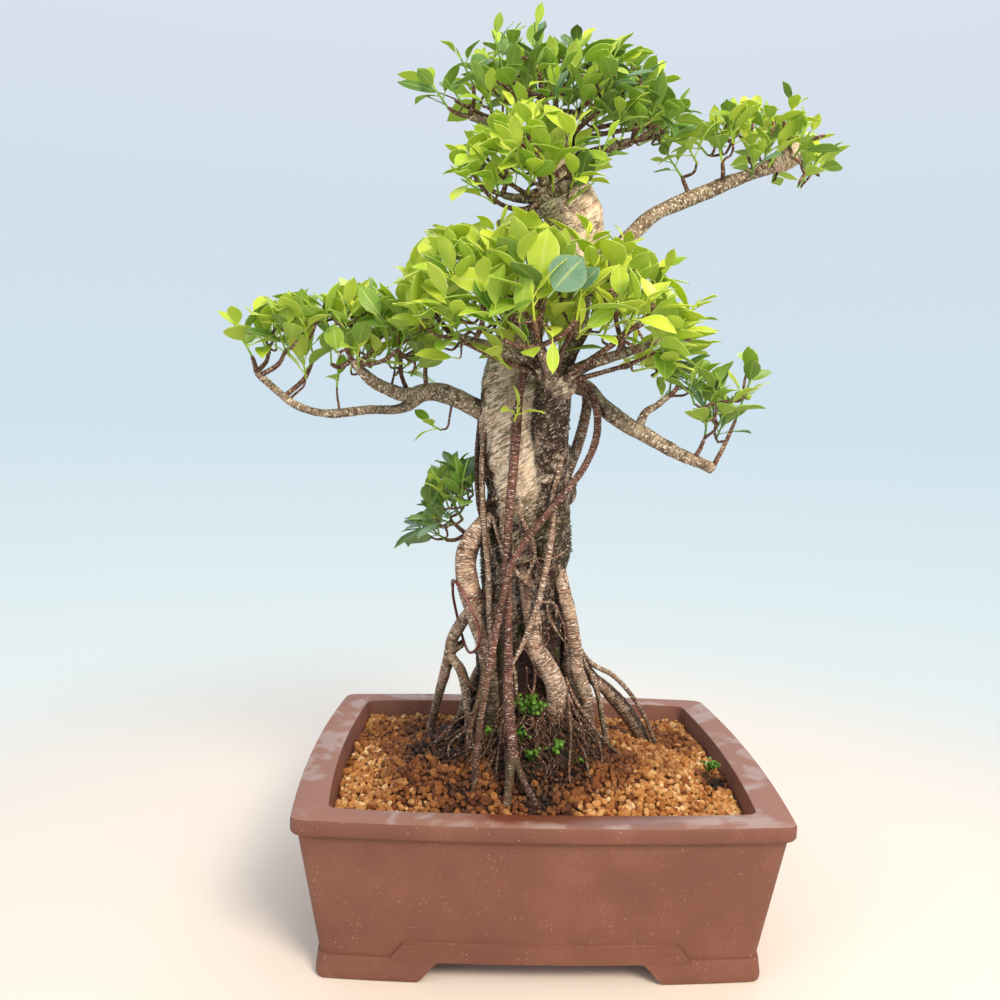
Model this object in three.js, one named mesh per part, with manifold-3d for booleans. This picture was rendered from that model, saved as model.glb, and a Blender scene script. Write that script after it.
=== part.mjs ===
// Ficus bonsai in a brown stoneware pot, in millimetres, +Z up, front towards -Y.
// The origin is the middle of the pot's footprint, on the surface that its feet stand on.
import * as THREE from "three";
import { mergeVertices } from "three/addons/utils/BufferGeometryUtils.js";
import Module from "manifold-3d";

// Pot: rectangular, unglazed, walls leaning out to a rim band
const POT = {
  rimHalf: [220, 172],
  bodyTopHalf: [214.5, 166.5],
  bodyBottomHalf: [195.5, 154.5],
  footHalf: [199, 158],
  openingHalf: [190, 146.5],
  floorHalf: [176, 136],
  height: 152,
  rimBand: 16,
  floorTop: 32,
  floorUnder: 19,
  footBandTop: 22,
  apronTop: 38,
  apronHalf: [120, 78],
  archBottomHalf: [110, 88],
  archTopHalf: [90, 70],
  footWall: 24,
  footHeight: 8,
  cornerRadius: 10,
  sideBow: 8,
  rimStep: 1,
  rimChamfer: 2,
  footChamfer: 1,
  footRelief: 1.2,
  apronRelief: 2.4,
};
const DRAIN_HOLES = { radius: 15, offset: 82 };
const DRAIN_MESH = { half: 24, thickness: 1.4, cells: 3, cellWidth: 11, bar: 3 };

// Soil: a heap of baked clay grains, higher towards the trunk, its relief coarser than the grains
const SOIL = {
  edgeHeight: 134,
  moundHeight: 44,
  moundHalf: [175, 150],
  moundCentre: [0, -25],
  grainPitch: 30,
  grainRelief: 2.4,
  unevenness: 1.2,
  gridStep: 15,
};

// Clearance left between any two pieces, and the little that a sloping face needs on top of it
const GAP = 0.3;
const SLOPE_GAP = 0.4;
// The largest loose scrap that may be dropped, in cubic millimetres
const SCRAP_VOLUME = 60;
// How far a surface may move where vertices that lie almost in line are left out
const FLATNESS = 0.02;

// Half width, half depth and height that the foliage stays inside
const BOUNDS = [303, 170, 882];

// Wood: every list holds points [x, y, z, radius] chosen along the photographed line
const TRUNK = [
  [-14, 0, 105, 48],
  [-16, 0, 155, 47],
  [-20, 0, 214, 45],
  [-20, 0, 267, 43],
  [-19, 0, 320, 42],
  [-19, 0, 372, 40],
  [-25, 0, 413, 37],
  [-36, 0, 463, 30],
  [-41, 0, 504, 26],
  [-38, 5, 544, 24],
  [-22, 8, 595, 23],
  [5, 10, 640, 22],
  [29, 12, 671, 22],
  [33, 12, 696, 21],
  [24, 8, 719, 18],
  [10, 5, 747, 15],
  [2, 0, 769, 11],
];
const FRONT_STEM = [
  [4, -10, 353, 24],
  [5, -18, 395, 23],
  [5, -32, 446, 20],
  [2, -46, 485, 18],
  [3, -60, 514, 17],
  [5, -68, 534, 14],
];
const STUBS = [
  [[25, 5, 680, 14], [5, -18, 690, 13], [-6, -36, 703, 12], [-9, -46, 719, 8]],
  [[38, 10, 684, 13], [52, 8, 690, 10]],
  [[30, 10, 668, 14], [44, 6, 676, 9]],
];
const THICK_ROOTS = [
  [[-36, -8, 405, 9], [-60, -18, 388, 10], [-75, -24, 360, 10], [-74, -27, 334, 11],
    [-65, -30, 306, 11], [-56, -34, 280, 11], [-50, -38, 250, 11], [-46, -46, 212, 12],
    [-42, -52, 150, 12]],
  [[-58, -16, 316, 6], [-76, -12, 291, 6.2], [-88, -6, 267, 5.7], [-91, 0, 247, 5.6],
    [-98, 16, 215, 5.2], [-104, 32, 187, 4.8], [-110, 48, 155, 4.4], [-112, 54, 136, 4]],
  [[-89, -2, 252, 4.6], [-78, -12, 237, 5.2], [-72, -22, 219, 5.2], [-69, -34, 198, 4.2],
    [-66, -48, 155, 3.8]],
  [[-18, -30, 345, 7], [-12, -44, 319, 8], [-8, -50, 293, 8.3], [-6, -52, 274, 8.6],
    [4, -53, 258, 9], [14, -54, 240, 9.4], [17, -55, 222, 9.4], [12, -56, 203, 9], [6, -58, 168, 8.4]],
  [[13, -16, 356, 8], [23, -22, 323, 7.1], [31, -26, 296, 7.1], [36, -28, 270, 7.1],
    [39, -30, 244, 7.2], [47, -32, 224, 6.8], [51, -34, 200, 6.4], [53, -36, 152, 6]],
  [[26, 0, 290, 6], [45, 2, 249, 5.6], [59, 6, 228, 6.4], [72, 10, 216, 7],
    [87, 15, 201, 7.6], [101, 20, 184, 7.6], [115, 26, 163, 7.2], [128, 32, 130, 6.6]],
];
const AERIAL_ROOTS = [
  [[-24, -80, 550, 4.4], [-29, -66, 522, 4.5], [-31, -60, 475, 4.8], [-36, -64, 385, 4.8],
    [-35, -71, 315, 5.4], [-32, -90, 233, 5.8], [-28, -106, 196, 5.7],
    [-30, -122, 175, 5.2], [-33, -138, 145, 4.4], [-33, -140, 132, 4]],
  [[-28, -110, 190, 4.8], [-17, -126, 168, 4], [-5, -136, 148, 3.8], [-2, -138, 130, 3.6]],
  [[12, -62, 536, 5], [35, -54, 527, 4.8], [45, -54, 506, 4.8], [46, -54, 480, 4.8], [36, -57, 453, 4.8],
    [19, -61, 429, 4.8], [-15, -68, 386, 4.8], [-29, -73, 365, 4.8],
    [-37, -79, 342, 4.4], [-48, -88, 280, 4.3], [-60, -102, 196, 4], [-63, -120, 130, 3.6]],
  [[17, -44, 497, 3.4], [12, -52, 448, 3.4], [7, -54, 420, 3.4], [6, -56, 382, 3.4],
    [0, -62, 344, 3.4], [-6, -66, 318, 3.4], [-18, -72, 285, 3.2], [-31, -78, 262, 3.2]],
  [[-62, -4, 512, 3.4], [-67, -8, 463, 3.5], [-64, -13, 413, 4], [-57, -17, 384, 4]],
  [[-58, -14, 503, 3], [-62, -22, 453, 3.5], [-60, -25, 404, 3.5], [-56, -34, 366, 3.5],
    [-53, -42, 340, 3.5], [-51, -46, 303, 3.5], [-47, -46, 268, 3.5]],
  [[30, -26, 535, 8], [41, -8, 520, 7], [40, -4, 496, 7.1], [33, 0, 465, 7.2], [21, 4, 430, 8.2],
    [2, 2, 392, 9]],
  [[35, -25, 276, 3.4], [46, -16, 252, 3], [60, -18, 224, 3.2], [66, -26, 200, 3.2],
    [73, -36, 158, 3], [75, -38, 134, 3]],
  [[34, 0, 276, 3.2], [54, -3, 247, 2.8], [81, 1, 231, 2.8], [104, 8, 206, 2.8], [121, 14, 178, 2.6],
    [134, 20, 146, 2.4], [138, 22, 130, 2.4]],
];
const LIMBS = {
  leftMain: [[-30, 2, 488, 12], [-58, -1, 500, 11], [-82, -4, 511, 9.6], [-104, -7, 519, 8.6],
    [-121, -9, 519, 8.4], [-133, -10, 513, 8]],
  leftUpper: [[-120, -9, 518, 8], [-140, -18, 516, 7.5], [-152, -26, 519, 6.9], [-166, -36, 525, 5.9],
    [-177, -44, 534, 4.9], [-187, -54, 545, 3.8]],
  leftLong: [[-124, -9, 516, 7], [-145, -8, 502, 5], [-175, -16, 500, 4.3], [-213, -25, 495, 4.2],
    [-241, -32, 501, 3.9], [-263, -36, 517, 3.6], [-279, -42, 532, 3.6]],
  rightLow: [[-24, -4, 540, 13], [10, -24, 537, 11], [39, -32, 525, 8.4], [53, -34, 510, 7.9],
    [78, -38, 492, 7.4], [94, -40, 484, 6.9], [114, -42, 473, 6], [133, -43, 464, 5.5],
    [149, -44, 458, 5.5], [163, -44, 452, 6]],
  rightFork: [[88, -40, 487, 4.6], [94, -41, 504, 3.5], [104, -42, 511, 2.9], [116, -44, 521, 2.4]],
  upperRight: [[26, 14, 646, 14], [52, 15, 657, 9.5], [70, 16, 669, 8.5], [97, 17, 698, 7.6],
    [118, 18, 711, 7.4], [160, 20, 731, 7], [199, 22, 748, 6.7], [217, 22, 756, 7.9], [236, 22, 764, 9]],
  midLeft: [[3, -66, 530, 11], [-21, -82, 549, 5.6], [-49, -86, 557, 4.6], [-77, -84, 565, 3.7],
    [-95, -78, 571, 2.9]],
  midFront: [[2, -66, 528, 10], [-6, -95, 543, 5.5], [-12, -112, 551, 4.2], [-16, -122, 558, 3.1]],
  midRight: [[8, -66, 530, 11], [29, -80, 545, 5.6], [53, -88, 554, 4.6], [79, -84, 563, 3.8],
    [101, -76, 572, 2.9]],
  midUp: [[6, -64, 532, 12], [19, -62, 565, 6.7], [28, -56, 592, 4.8], [33, -50, 612, 3.6]],
  midUpLeft: [[0, -62, 532, 11], [-16, -62, 566, 5.7], [-38, -58, 592, 4.8], [-59, -52, 610, 3.9],
    [-78, -48, 618, 2.9]],
  frontLow: [[-6, -34, 697, 9], [-34, -42, 681, 4], [-54, -44, 678, 3.4]],
  frontLeft: [[-8, -40, 706, 9], [-34, -50, 700, 4], [-50, -52, 702, 3.2]],
  frontUp: [[-9, -44, 712, 8], [-14, -56, 722, 5], [-20, -60, 732, 3.6]],
  frontRight: [[-6, -42, 708, 8], [12, -56, 712, 4], [22, -60, 714, 3]],
  topLeft: [[7, 4, 751, 12], [-23, 0, 767, 7.4], [-53, -6, 778, 5.3], [-83, -10, 785, 3.6]],
  topFront: [[3, 0, 762, 11], [-6, -12, 785, 6], [-14, -24, 800, 3.8]],
  topUp: [[5, 3, 766, 9], [16, 18, 790, 5.6], [24, 30, 806, 4]],
  topRight: [[11, 6, 746, 11], [32, 6, 756, 6.4], [53, 4, 763, 5.4], [78, 2, 771, 3.6]],
  lowLeft: [[-40, 8, 366, 8], [-66, 24, 368, 5.4], [-76, 34, 372, 4]],
};

// Fine roots: a fan of rootlets from the trunk's base into the soil
const ROOTLETS = { count: 10, fromHeight: 214, fromRadius: 40, reach: 98, radius: 2.4, intoSoil: 12 };

// Crowns: the middle that each crown's shoots point away from, its limbs, and the foot of each shoot
const CROWNS = {
  left: {
    centre: [-205, -22, 478],
    limbs: ["leftLong", "leftUpper", "leftMain"],
    shoots: [[-282, -48, 547], [-272, -22, 556], [-250, -50, 553], [-230, -16, 548], [-209, -38, 542],
      [-192, -64, 560], [-164, -52, 561], [-140, -78, 556], [-146, -2, 552], [-190, 4, 566],
      [-118, -16, 556]],
  },
  mid: {
    centre: [4, -40, 520],
    limbs: ["midLeft", "midFront", "midRight", "midUp", "midUpLeft"],
    shoots: [[-118, -66, 600], [-100, -104, 566], [-92, -40, 634], [-66, -116, 594], [-48, -86, 636],
      [-48, -130, 563], [-16, -112, 612], [-22, -140, 578], [14, -138, 580], [24, -88, 634],
      [50, -112, 612], [58, -130, 572], [92, -66, 612], [108, -98, 578], [-14, -24, 640], [66, -26, 640]],
  },
  front: {
    centre: [-4, -20, 682],
    limbs: ["frontLeft", "frontUp", "frontRight", "frontLow"],
    shoots: [[-70, -52, 712], [-48, -74, 722], [-24, -88, 728], [6, -88, 722], [31, -74, 718],
      [-34, -52, 750]],
  },
  top: {
    centre: [6, 8, 742],
    limbs: ["topLeft", "topFront", "topUp", "topRight"],
    shoots: [[-104, -14, 791], [-80, -34, 806], [-52, -48, 814], [-20, -42, 824], [16, -14, 826],
      [50, -8, 828], [86, 0, 806], [108, 6, 784], [-14, 50, 826], [48, 56, 818], [-62, 34, 806]],
  },
  right: {
    centre: [205, 22, 706],
    limbs: ["upperRight"],
    shoots: [[132, 16, 742], [168, 0, 754], [205, 42, 774], [232, 8, 786], [258, 34, 768]],
  },
  lower: {
    centre: [146, -44, 436],
    limbs: ["rightLow", "rightFork"],
    shoots: [[150, -54, 482], [182, -44, 500], [124, -46, 532]],
  },
  back: {
    centre: [-50, 20, 366],
    limbs: ["lowLeft"],
    shoots: [[-90, 46, 382], [-98, 26, 366]],
  },
};

// Shoots: a green stem end with leaves set round it in a spiral
const SHOOT = { stem: 28, bare: 0.25, footRadius: 1.9, tipRadius: 1.3, leaves: 5, upward: 0.75 };
// Golden angle between one leaf and the next, on a stem of three sides
const STEM_SIDES = 3;
const STEM_TWIST = THREE.MathUtils.degToRad(137.5 - 120);
const TWIG = { footRadius: 2.6, bow: 0.35, sides: 3 };
const LEAF = {
  petiole: 7,
  blade: 38,
  halfWidth: 10.5,
  stalkHalf: 0.7,
  thickness: 0.7,
  fold: 0.24,
  droop: 0.16,
  lowestLean: 1.25,
  highestLean: 0.5,
};
// Clearance of a leaf from the leaves of other shoots, from the wood, and from its own shoot's leaves
const LEAF_CLEARANCE = 8.5;
const WOOD_CLEARANCE = 2.5;
const OWN_CLEARANCE = 4;
// Directions tried for a leaf before it is left out
const ATTEMPTS = 16;
// The point in the middle of a blade, and how far apart the middles of two blades that touch can be
const BLADE_MIDDLE = 6;
const BLADE_REACH = 60;

// Training wire: a closed loop hung on the left root
const WIRE_RADIUS = 1.3;
const WIRE_LOOP = [
  [-88, -25, 333], [-88, -12, 316], [-85, -2, 298], [-81, 2, 281], [-75, -10, 265], [-69, -34, 262],
  [-61, -50, 274], [-62, -50, 294], [-71, -46, 312], [-81, -39, 328],
];

const wasm = await Module();
wasm.setup();

// A repeatable draw between 0 and 1
function seeded(seed) {
  let state = (seed * 7919 + 12345) % 4294967296;
  const draw = () => {
    state = (state * 1664525 + 1013904223) % 4294967296;
    return state / 4294967296;
  };
  draw();
  draw();
  return draw;
}

const vector = ([x, y, z]) => new THREE.Vector3(x, y, z);
const mix = (a, b, share) => a + (b - a) * share;

// Solids: geometry into a solid and back
function solidOf(geometry) {
  const bare = geometry.clone();
  bare.deleteAttribute("normal");
  bare.deleteAttribute("uv");
  const merged = mergeVertices(bare, 1e-4);
  const mesh = new wasm.Mesh({
    numProp: 3,
    vertProperties: merged.attributes.position.array,
    triVerts: new Uint32Array(merged.index.array),
  });
  return new wasm.Manifold(mesh);
}

function geometryOf(solid) {
  const mesh = solid.getMesh();
  const geometry = new THREE.BufferGeometry();
  geometry.setAttribute("position", new THREE.BufferAttribute(mesh.vertProperties, 3));
  geometry.setIndex(new THREE.BufferAttribute(mesh.triVerts, 1));
  const flat = geometry.toNonIndexed();
  flat.computeVertexNormals();
  return flat;
}

function closedGeometry(vertices, triangles) {
  const numbers = vertices.flatMap((p) => [p.x, p.y, p.z]);
  const geometry = new THREE.BufferGeometry();
  geometry.setAttribute("position", new THREE.Float32BufferAttribute(numbers, 3));
  geometry.setIndex(triangles);
  return geometry;
}

// Drops sealed hollows and loose scraps, and stops where a whole piece is not joined
function largestBody(solid) {
  const bodies = solid.decompose().sort((a, b) => b.volume() - a.volume());
  if (bodies.length > 1 && bodies[1].volume() > SCRAP_VOLUME) {
    const loose = bodies.slice(1).map((body) => body.boundingBox().min.map(Math.round).join(" "));
    throw new Error(`pieces near ${loose.join(", ")} are not joined`);
  }
  return bodies[0];
}

// Rings of equal vertex count joined into one closed solid, with flat ends
function loft(rings) {
  const count = rings[0].length;
  const triangles = [];
  for (let r = 0; r + 1 < rings.length; r++) {
    for (let i = 0; i < count; i++) {
      const a = r * count + i;
      const b = r * count + ((i + 1) % count);
      triangles.push(a, b, b + count, a, b + count, a + count);
    }
  }
  const last = (rings.length - 1) * count;
  for (let i = 1; i + 1 < count; i++) {
    triangles.push(0, i + 1, i, last, last + i, last + i + 1);
  }
  return solidOf(closedGeometry(rings.flat(), triangles));
}

// A bar with a radius of its own at each point, its section carried along without twist.
// It may be grown all round, and its last face may be turned to a given direction.
function bar({ points, sides, endDirection }, grow = 0) {
  const path = new THREE.CatmullRomCurve3(points.map(vector), false, "centripetal");
  const last = points.length - 1;
  const rings = [];
  let tangent = path.getTangent(0);
  let normal = new THREE.Vector3(tangent.y, -tangent.x, 0);
  if (normal.length() < 0.1) normal.set(1, 0, 0);
  for (let k = 0; k <= last; k++) {
    const next = k === last && endDirection ? endDirection.clone() : path.getTangent(k / last);
    normal.applyQuaternion(new THREE.Quaternion().setFromUnitVectors(tangent, next));
    normal.addScaledVector(next, -normal.dot(next)).normalize();
    tangent = next;
    const side = new THREE.Vector3().crossVectors(tangent, normal);
    const centre = vector(points[k]);
    if (k === 0) centre.addScaledVector(tangent, -grow);
    if (k === last) centre.addScaledVector(tangent, grow);
    const radius = points[k][3] + grow;
    rings.push(
      Array.from({ length: sides }, (_, i) => {
        const angle = (2 * Math.PI * i) / sides;
        const ring = centre.clone().addScaledVector(normal, radius * Math.cos(angle));
        return ring.addScaledVector(side, radius * Math.sin(angle));
      }),
    );
  }
  return loft(rings);
}

// A closed ring of even thickness along a loop of points
function ringBar(points, radius, sides, steps) {
  const path = new THREE.CatmullRomCurve3(points.map(vector), true, "centripetal");
  const frames = path.computeFrenetFrames(steps, true);
  const vertices = [];
  const triangles = [];
  for (let k = 0; k < steps; k++) {
    const centre = path.getPointAt(k / steps);
    for (let i = 0; i < sides; i++) {
      const angle = (2 * Math.PI * i) / sides;
      const out = frames.normals[k].clone().multiplyScalar(Math.cos(angle));
      out.addScaledVector(frames.binormals[k], Math.sin(angle));
      vertices.push(centre.clone().addScaledVector(out, radius));
      const a = k * sides + i;
      const b = k * sides + ((i + 1) % sides);
      const next = ((k + 1) % steps) * sides;
      triangles.push(a, b, next + ((i + 1) % sides), a, next + ((i + 1) % sides), next + i);
    }
  }
  return solidOf(closedGeometry(vertices, triangles));
}

function box(size, centre) {
  return solidOf(new THREE.BoxGeometry(...size).translate(...centre));
}

// Pot plan: a rectangle with round corners and sides that bow out slightly
function potPlan([halfX, halfY], z, grow = 0) {
  const radius = POT.cornerRadius;
  const corners = [[1, -1], [1, 1], [-1, 1], [-1, -1]];
  const arcs = corners.map(([signX, signY], c) =>
    [0, 0.5, 1].map((turn) => {
      const angle = (c - 1 + turn) * (Math.PI / 2);
      const x = signX * (halfX + grow - radius) + radius * Math.cos(angle);
      const y = signY * (halfY + grow - radius) + radius * Math.sin(angle);
      return new THREE.Vector3(x, y, z);
    }),
  );
  return arcs.flatMap((arc, c) => {
    const outward = new THREE.Vector3(Math.cos((c * Math.PI) / 2), Math.sin((c * Math.PI) / 2), 0);
    const from = arc[2];
    const to = arcs[(c + 1) % 4][0];
    const side = [1 / 4, 1 / 2, 3 / 4].map((share) =>
      from.clone().lerp(to, share).addScaledVector(outward, POT.sideBow * 4 * share * (1 - share)),
    );
    return [...arc, ...side];
  });
}

// The space between two feet, right through under the pot
function underPotArch(bottomHalf, topHalf, alongX) {
  const reach = 260;
  const top = POT.floorUnder;
  const corners = [[-bottomHalf, -1], [bottomHalf, -1], [topHalf, top], [-topHalf, top]];
  const ring = (depth) =>
    corners.map(([across, z]) => new THREE.Vector3(alongX ? depth : across, alongX ? across : -depth, z));
  return loft([ring(-reach), ring(reach)]);
}

function makePot() {
  const bandUnder = POT.height - POT.rimBand;
  const body = loft([
    potPlan(POT.bodyBottomHalf, POT.floorUnder),
    potPlan(POT.bodyTopHalf, bandUnder - POT.rimStep),
    potPlan(POT.rimHalf, bandUnder + POT.rimStep),
    potPlan(POT.rimHalf, POT.height - POT.rimChamfer),
    potPlan(POT.rimHalf, POT.height, -POT.rimChamfer),
  ]);
  const feet = loft([
    potPlan(POT.footHalf, 0, -POT.footChamfer),
    potPlan(POT.footHalf, POT.footHeight),
    potPlan(POT.bodyBottomHalf, POT.footBandTop, POT.footRelief),
  ]);
  const apronRise = (POT.apronTop - POT.floorUnder) / (bandUnder - POT.floorUnder);
  const apronHalf = [0, 1].map((i) => mix(POT.bodyBottomHalf[i], POT.bodyTopHalf[i], apronRise));
  const apron = loft([
    potPlan(POT.bodyBottomHalf, POT.floorUnder, POT.apronRelief),
    potPlan(apronHalf, POT.apronTop, POT.apronRelief),
  ]);
  const apronParts = box([2 * POT.apronHalf[0], 500, 100], [0, 0, 0]).add(
    box([500, 2 * POT.apronHalf[1], 100], [0, 0, 0]),
  );
  const recess = box(
    [2 * (POT.footHalf[0] - POT.footWall), 2 * (POT.footHalf[1] - POT.footWall), 2 * POT.floorUnder],
    [0, 0, 0],
  );
  const cavity = loft([potPlan(POT.floorHalf, POT.floorTop), potPlan(POT.openingHalf, POT.height + 1)]);
  let pot = feet
    .subtract(recess)
    .subtract(underPotArch(POT.archBottomHalf[0], POT.archTopHalf[0], false))
    .subtract(underPotArch(POT.archBottomHalf[1], POT.archTopHalf[1], true))
    .add(body)
    .add(apron.intersect(apronParts))
    .subtract(cavity);
  for (const side of [-1, 1]) {
    const hole = new THREE.CylinderGeometry(DRAIN_HOLES.radius, DRAIN_HOLES.radius, 40, 12);
    hole.rotateX(Math.PI / 2).translate(side * DRAIN_HOLES.offset, 0, POT.floorTop - 10);
    pot = pot.subtract(solidOf(hole));
  }
  return largestBody(pot.simplify(FLATNESS));
}

function makeDrainMesh(side) {
  const { half, cells, cellWidth, bar: between, thickness } = DRAIN_MESH;
  const middleX = side * DRAIN_HOLES.offset;
  const middleZ = POT.floorTop + GAP + thickness / 2;
  let mesh = box([2 * half, 2 * half, thickness], [middleX, 0, middleZ]);
  for (let i = 0; i < cells; i++) {
    for (let j = 0; j < cells; j++) {
      const x = middleX + (i - (cells - 1) / 2) * (cellWidth + between);
      const y = (j - (cells - 1) / 2) * (cellWidth + between);
      mesh = mesh.subtract(box([cellWidth, cellWidth, 10], [x, y, middleZ]));
    }
  }
  return mesh;
}

// Soil surface: a low mound with grain relief
function soilHeight(x, y) {
  const alongX = (x - SOIL.moundCentre[0]) / SOIL.moundHalf[0];
  const alongY = (y - SOIL.moundCentre[1]) / SOIL.moundHalf[1];
  return SOIL.edgeHeight + SOIL.moundHeight * Math.max(0, 1 - alongX * alongX - alongY * alongY);
}

function grainRelief(x, y, random) {
  const turn = (2 * Math.PI) / SOIL.grainPitch;
  const wave = Math.cos(turn * x) * Math.cos(turn * y);
  return SOIL.grainRelief * (wave + (random() - 0.5) * SOIL.unevenness);
}

function makeSoil(woodSockets) {
  const random = seeded(5);
  const columns = Math.ceil((2 * POT.openingHalf[0] + 20) / SOIL.gridStep);
  const rows = Math.ceil((2 * POT.openingHalf[1] + 20) / SOIL.gridStep);
  const vertices = [];
  const triangles = [];
  const bottom = POT.floorTop + GAP;
  for (let j = 0; j <= rows; j++) {
    for (let i = 0; i <= columns; i++) {
      const x = (i - columns / 2) * SOIL.gridStep;
      const y = (j - rows / 2) * SOIL.gridStep;
      const gridRelief = grainRelief(i * SOIL.gridStep, j * SOIL.gridStep, random);
      vertices.push(new THREE.Vector3(x, y, soilHeight(x, y) + gridRelief));
    }
  }
  const top = vertices.length;
  vertices.push(...vertices.map((p) => new THREE.Vector3(p.x, p.y, bottom)));
  const at = (i, j) => j * (columns + 1) + i;
  for (let j = 0; j < rows; j++) {
    for (let i = 0; i < columns; i++) {
      const [a, b, c, d] = [at(i, j), at(i + 1, j), at(i + 1, j + 1), at(i, j + 1)];
      const split = (i + j) % 2 ? [a, b, c, a, c, d] : [a, b, d, b, c, d];
      triangles.push(...split);
      triangles.push(...[a, c, b, a, d, c].map((k) => k + top));
    }
  }
  const wall = (a, b) => triangles.push(a + top, b + top, b, a + top, b, a);
  for (let i = 0; i < columns; i++) {
    wall(at(i, 0), at(i + 1, 0));
    wall(at(i + 1, rows), at(i, rows));
  }
  for (let j = 0; j < rows; j++) {
    wall(at(columns, j), at(columns, j + 1));
    wall(at(0, j + 1), at(0, j));
  }
  const heap = solidOf(closedGeometry(vertices, triangles));
  const inside = loft([
    potPlan(POT.floorHalf, bottom, -SLOPE_GAP),
    potPlan(POT.openingHalf, POT.height + 1, -SLOPE_GAP),
  ]);
  let soil = heap.intersect(inside).subtract(woodSockets);
  const spaceWidth = 2 * (DRAIN_MESH.half + SLOPE_GAP);
  const spaceTop = GAP + DRAIN_MESH.thickness + SLOPE_GAP;
  for (const side of [-1, 1]) {
    const place = [side * DRAIN_HOLES.offset, 0, POT.floorTop];
    soil = soil.subtract(box([spaceWidth, spaceWidth, 2 * spaceTop], place));
  }
  return largestBody(soil.simplify(FLATNESS));
}

// Wood: nearest point of a crown's limbs, where a twig starts
function nearestOnLimbs(point, limbNames) {
  let best = { distance: Infinity };
  const segment = new THREE.Line3();
  for (const name of limbNames) {
    const points = LIMBS[name];
    for (let k = 0; k + 1 < points.length; k++) {
      segment.set(vector(points[k]), vector(points[k + 1]));
      const share = segment.closestPointToPointParameter(point, true);
      const at = segment.at(share, new THREE.Vector3());
      const distance = at.distanceTo(point);
      if (distance < best.distance) best = { distance, at };
    }
  }
  return best.at;
}

// Each shoot: where it stands, which way it points, and the twig that carries it
function planShoots() {
  const shoots = [];
  for (const [crown, { centre, limbs, shoots: feet }] of Object.entries(CROWNS)) {
    feet.forEach((place, k) => {
      const foot = vector(place);
      const direction = foot.clone().sub(vector(centre)).normalize();
      direction.z += SHOOT.upward;
      direction.normalize();
      const start = nearestOnLimbs(foot, limbs);
      const length = start.distanceTo(foot);
      const curve = new THREE.CubicBezierCurve3(
        start,
        start.clone().lerp(foot, 0.35),
        foot.clone().addScaledVector(direction, -TWIG.bow * length),
        foot,
      );
      const twig = [0, 0.5, 1].map((share) => {
        const p = curve.getPoint(share);
        return [p.x, p.y, p.z, mix(TWIG.footRadius, SHOOT.footRadius, share)];
      });
      const name = `shoot_${crown}_${String(k + 1).padStart(2, "0")}`;
      shoots.push({ name, foot, direction, twig, phase: shoots.length * 0.9 });
    });
  }
  return shoots;
}

// A fan of fine roots round the foot of the trunk
function planRootlets() {
  const random = seeded(11);
  const { count, fromHeight, fromRadius, reach, radius, intoSoil } = ROOTLETS;
  const [middleX, middleY] = TRUNK[1];
  return Array.from({ length: count }, (_, k) => {
    const angle = (2 * Math.PI * (k + 0.3 + 0.5 * random())) / count;
    const spread = reach * (0.75 + 0.35 * random());
    const place = (distance) => [
      middleX + distance * Math.cos(angle),
      middleY + distance * 0.85 * Math.sin(angle),
    ];
    const [endX, endY] = place(spread);
    const [midX, midY] = place(mix(fromRadius, spread, 0.45));
    const [startX, startY] = place(fromRadius - 8);
    const startZ = fromHeight + 16 * random();
    const endZ = soilHeight(endX, endY);
    return [
      [startX, startY, startZ, radius],
      [midX, midY, mix(startZ, endZ, 0.6), radius],
      [endX, endY, endZ - intoSoil, radius * 0.8],
    ];
  });
}

// Every bar of the wood, with the number of its sides
function planWood(shoots) {
  return [
    { points: TRUNK, sides: 9 },
    { points: FRONT_STEM, sides: 7 },
    ...STUBS.map((points) => ({ points, sides: 6 })),
    ...THICK_ROOTS.map((points) => ({ points, sides: 5 })),
    ...AERIAL_ROOTS.map((points) => ({ points, sides: 4 })),
    ...planRootlets().map((points) => ({ points, sides: 3 })),
    ...Object.values(LIMBS).map((points) => ({ points, sides: points[0][3] > 11 ? 5 : 4 })),
    ...shoots.map((shoot) => ({
      points: shoot.twig,
      sides: TWIG.sides,
      endDirection: shoot.direction,
    })),
  ];
}

function makeWood(bars) {
  const joined = wasm.Manifold.union(bars.map((each) => bar(each)));
  return largestBody(joined.simplify(FLATNESS));
}

// The space that the wood takes in the soil, a clearance wider
function makeSockets(bars) {
  const nearSoil = SOIL.edgeHeight + SOIL.moundHeight;
  const low = bars.filter(({ points }) => points.some(([, , z]) => z < nearSoil));
  return wasm.Manifold.union(low.map((each) => bar(each, 1.5 * GAP)));
}

// Leaf: one folded blade on a stalk, given by its start, its midrib and its upper side
function leafFrame(start, along, up, size) {
  const normal = up.clone().addScaledVector(along, -up.dot(along)).normalize();
  const side = new THREE.Vector3().crossVectors(normal, along);
  const place = (distance, across, lift) =>
    start
      .clone()
      .addScaledVector(along, distance)
      .addScaledVector(side, across)
      .addScaledVector(normal, lift);
  return { normal, place, blade: LEAF.blade * size, half: LEAF.halfWidth * size };
}

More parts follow.
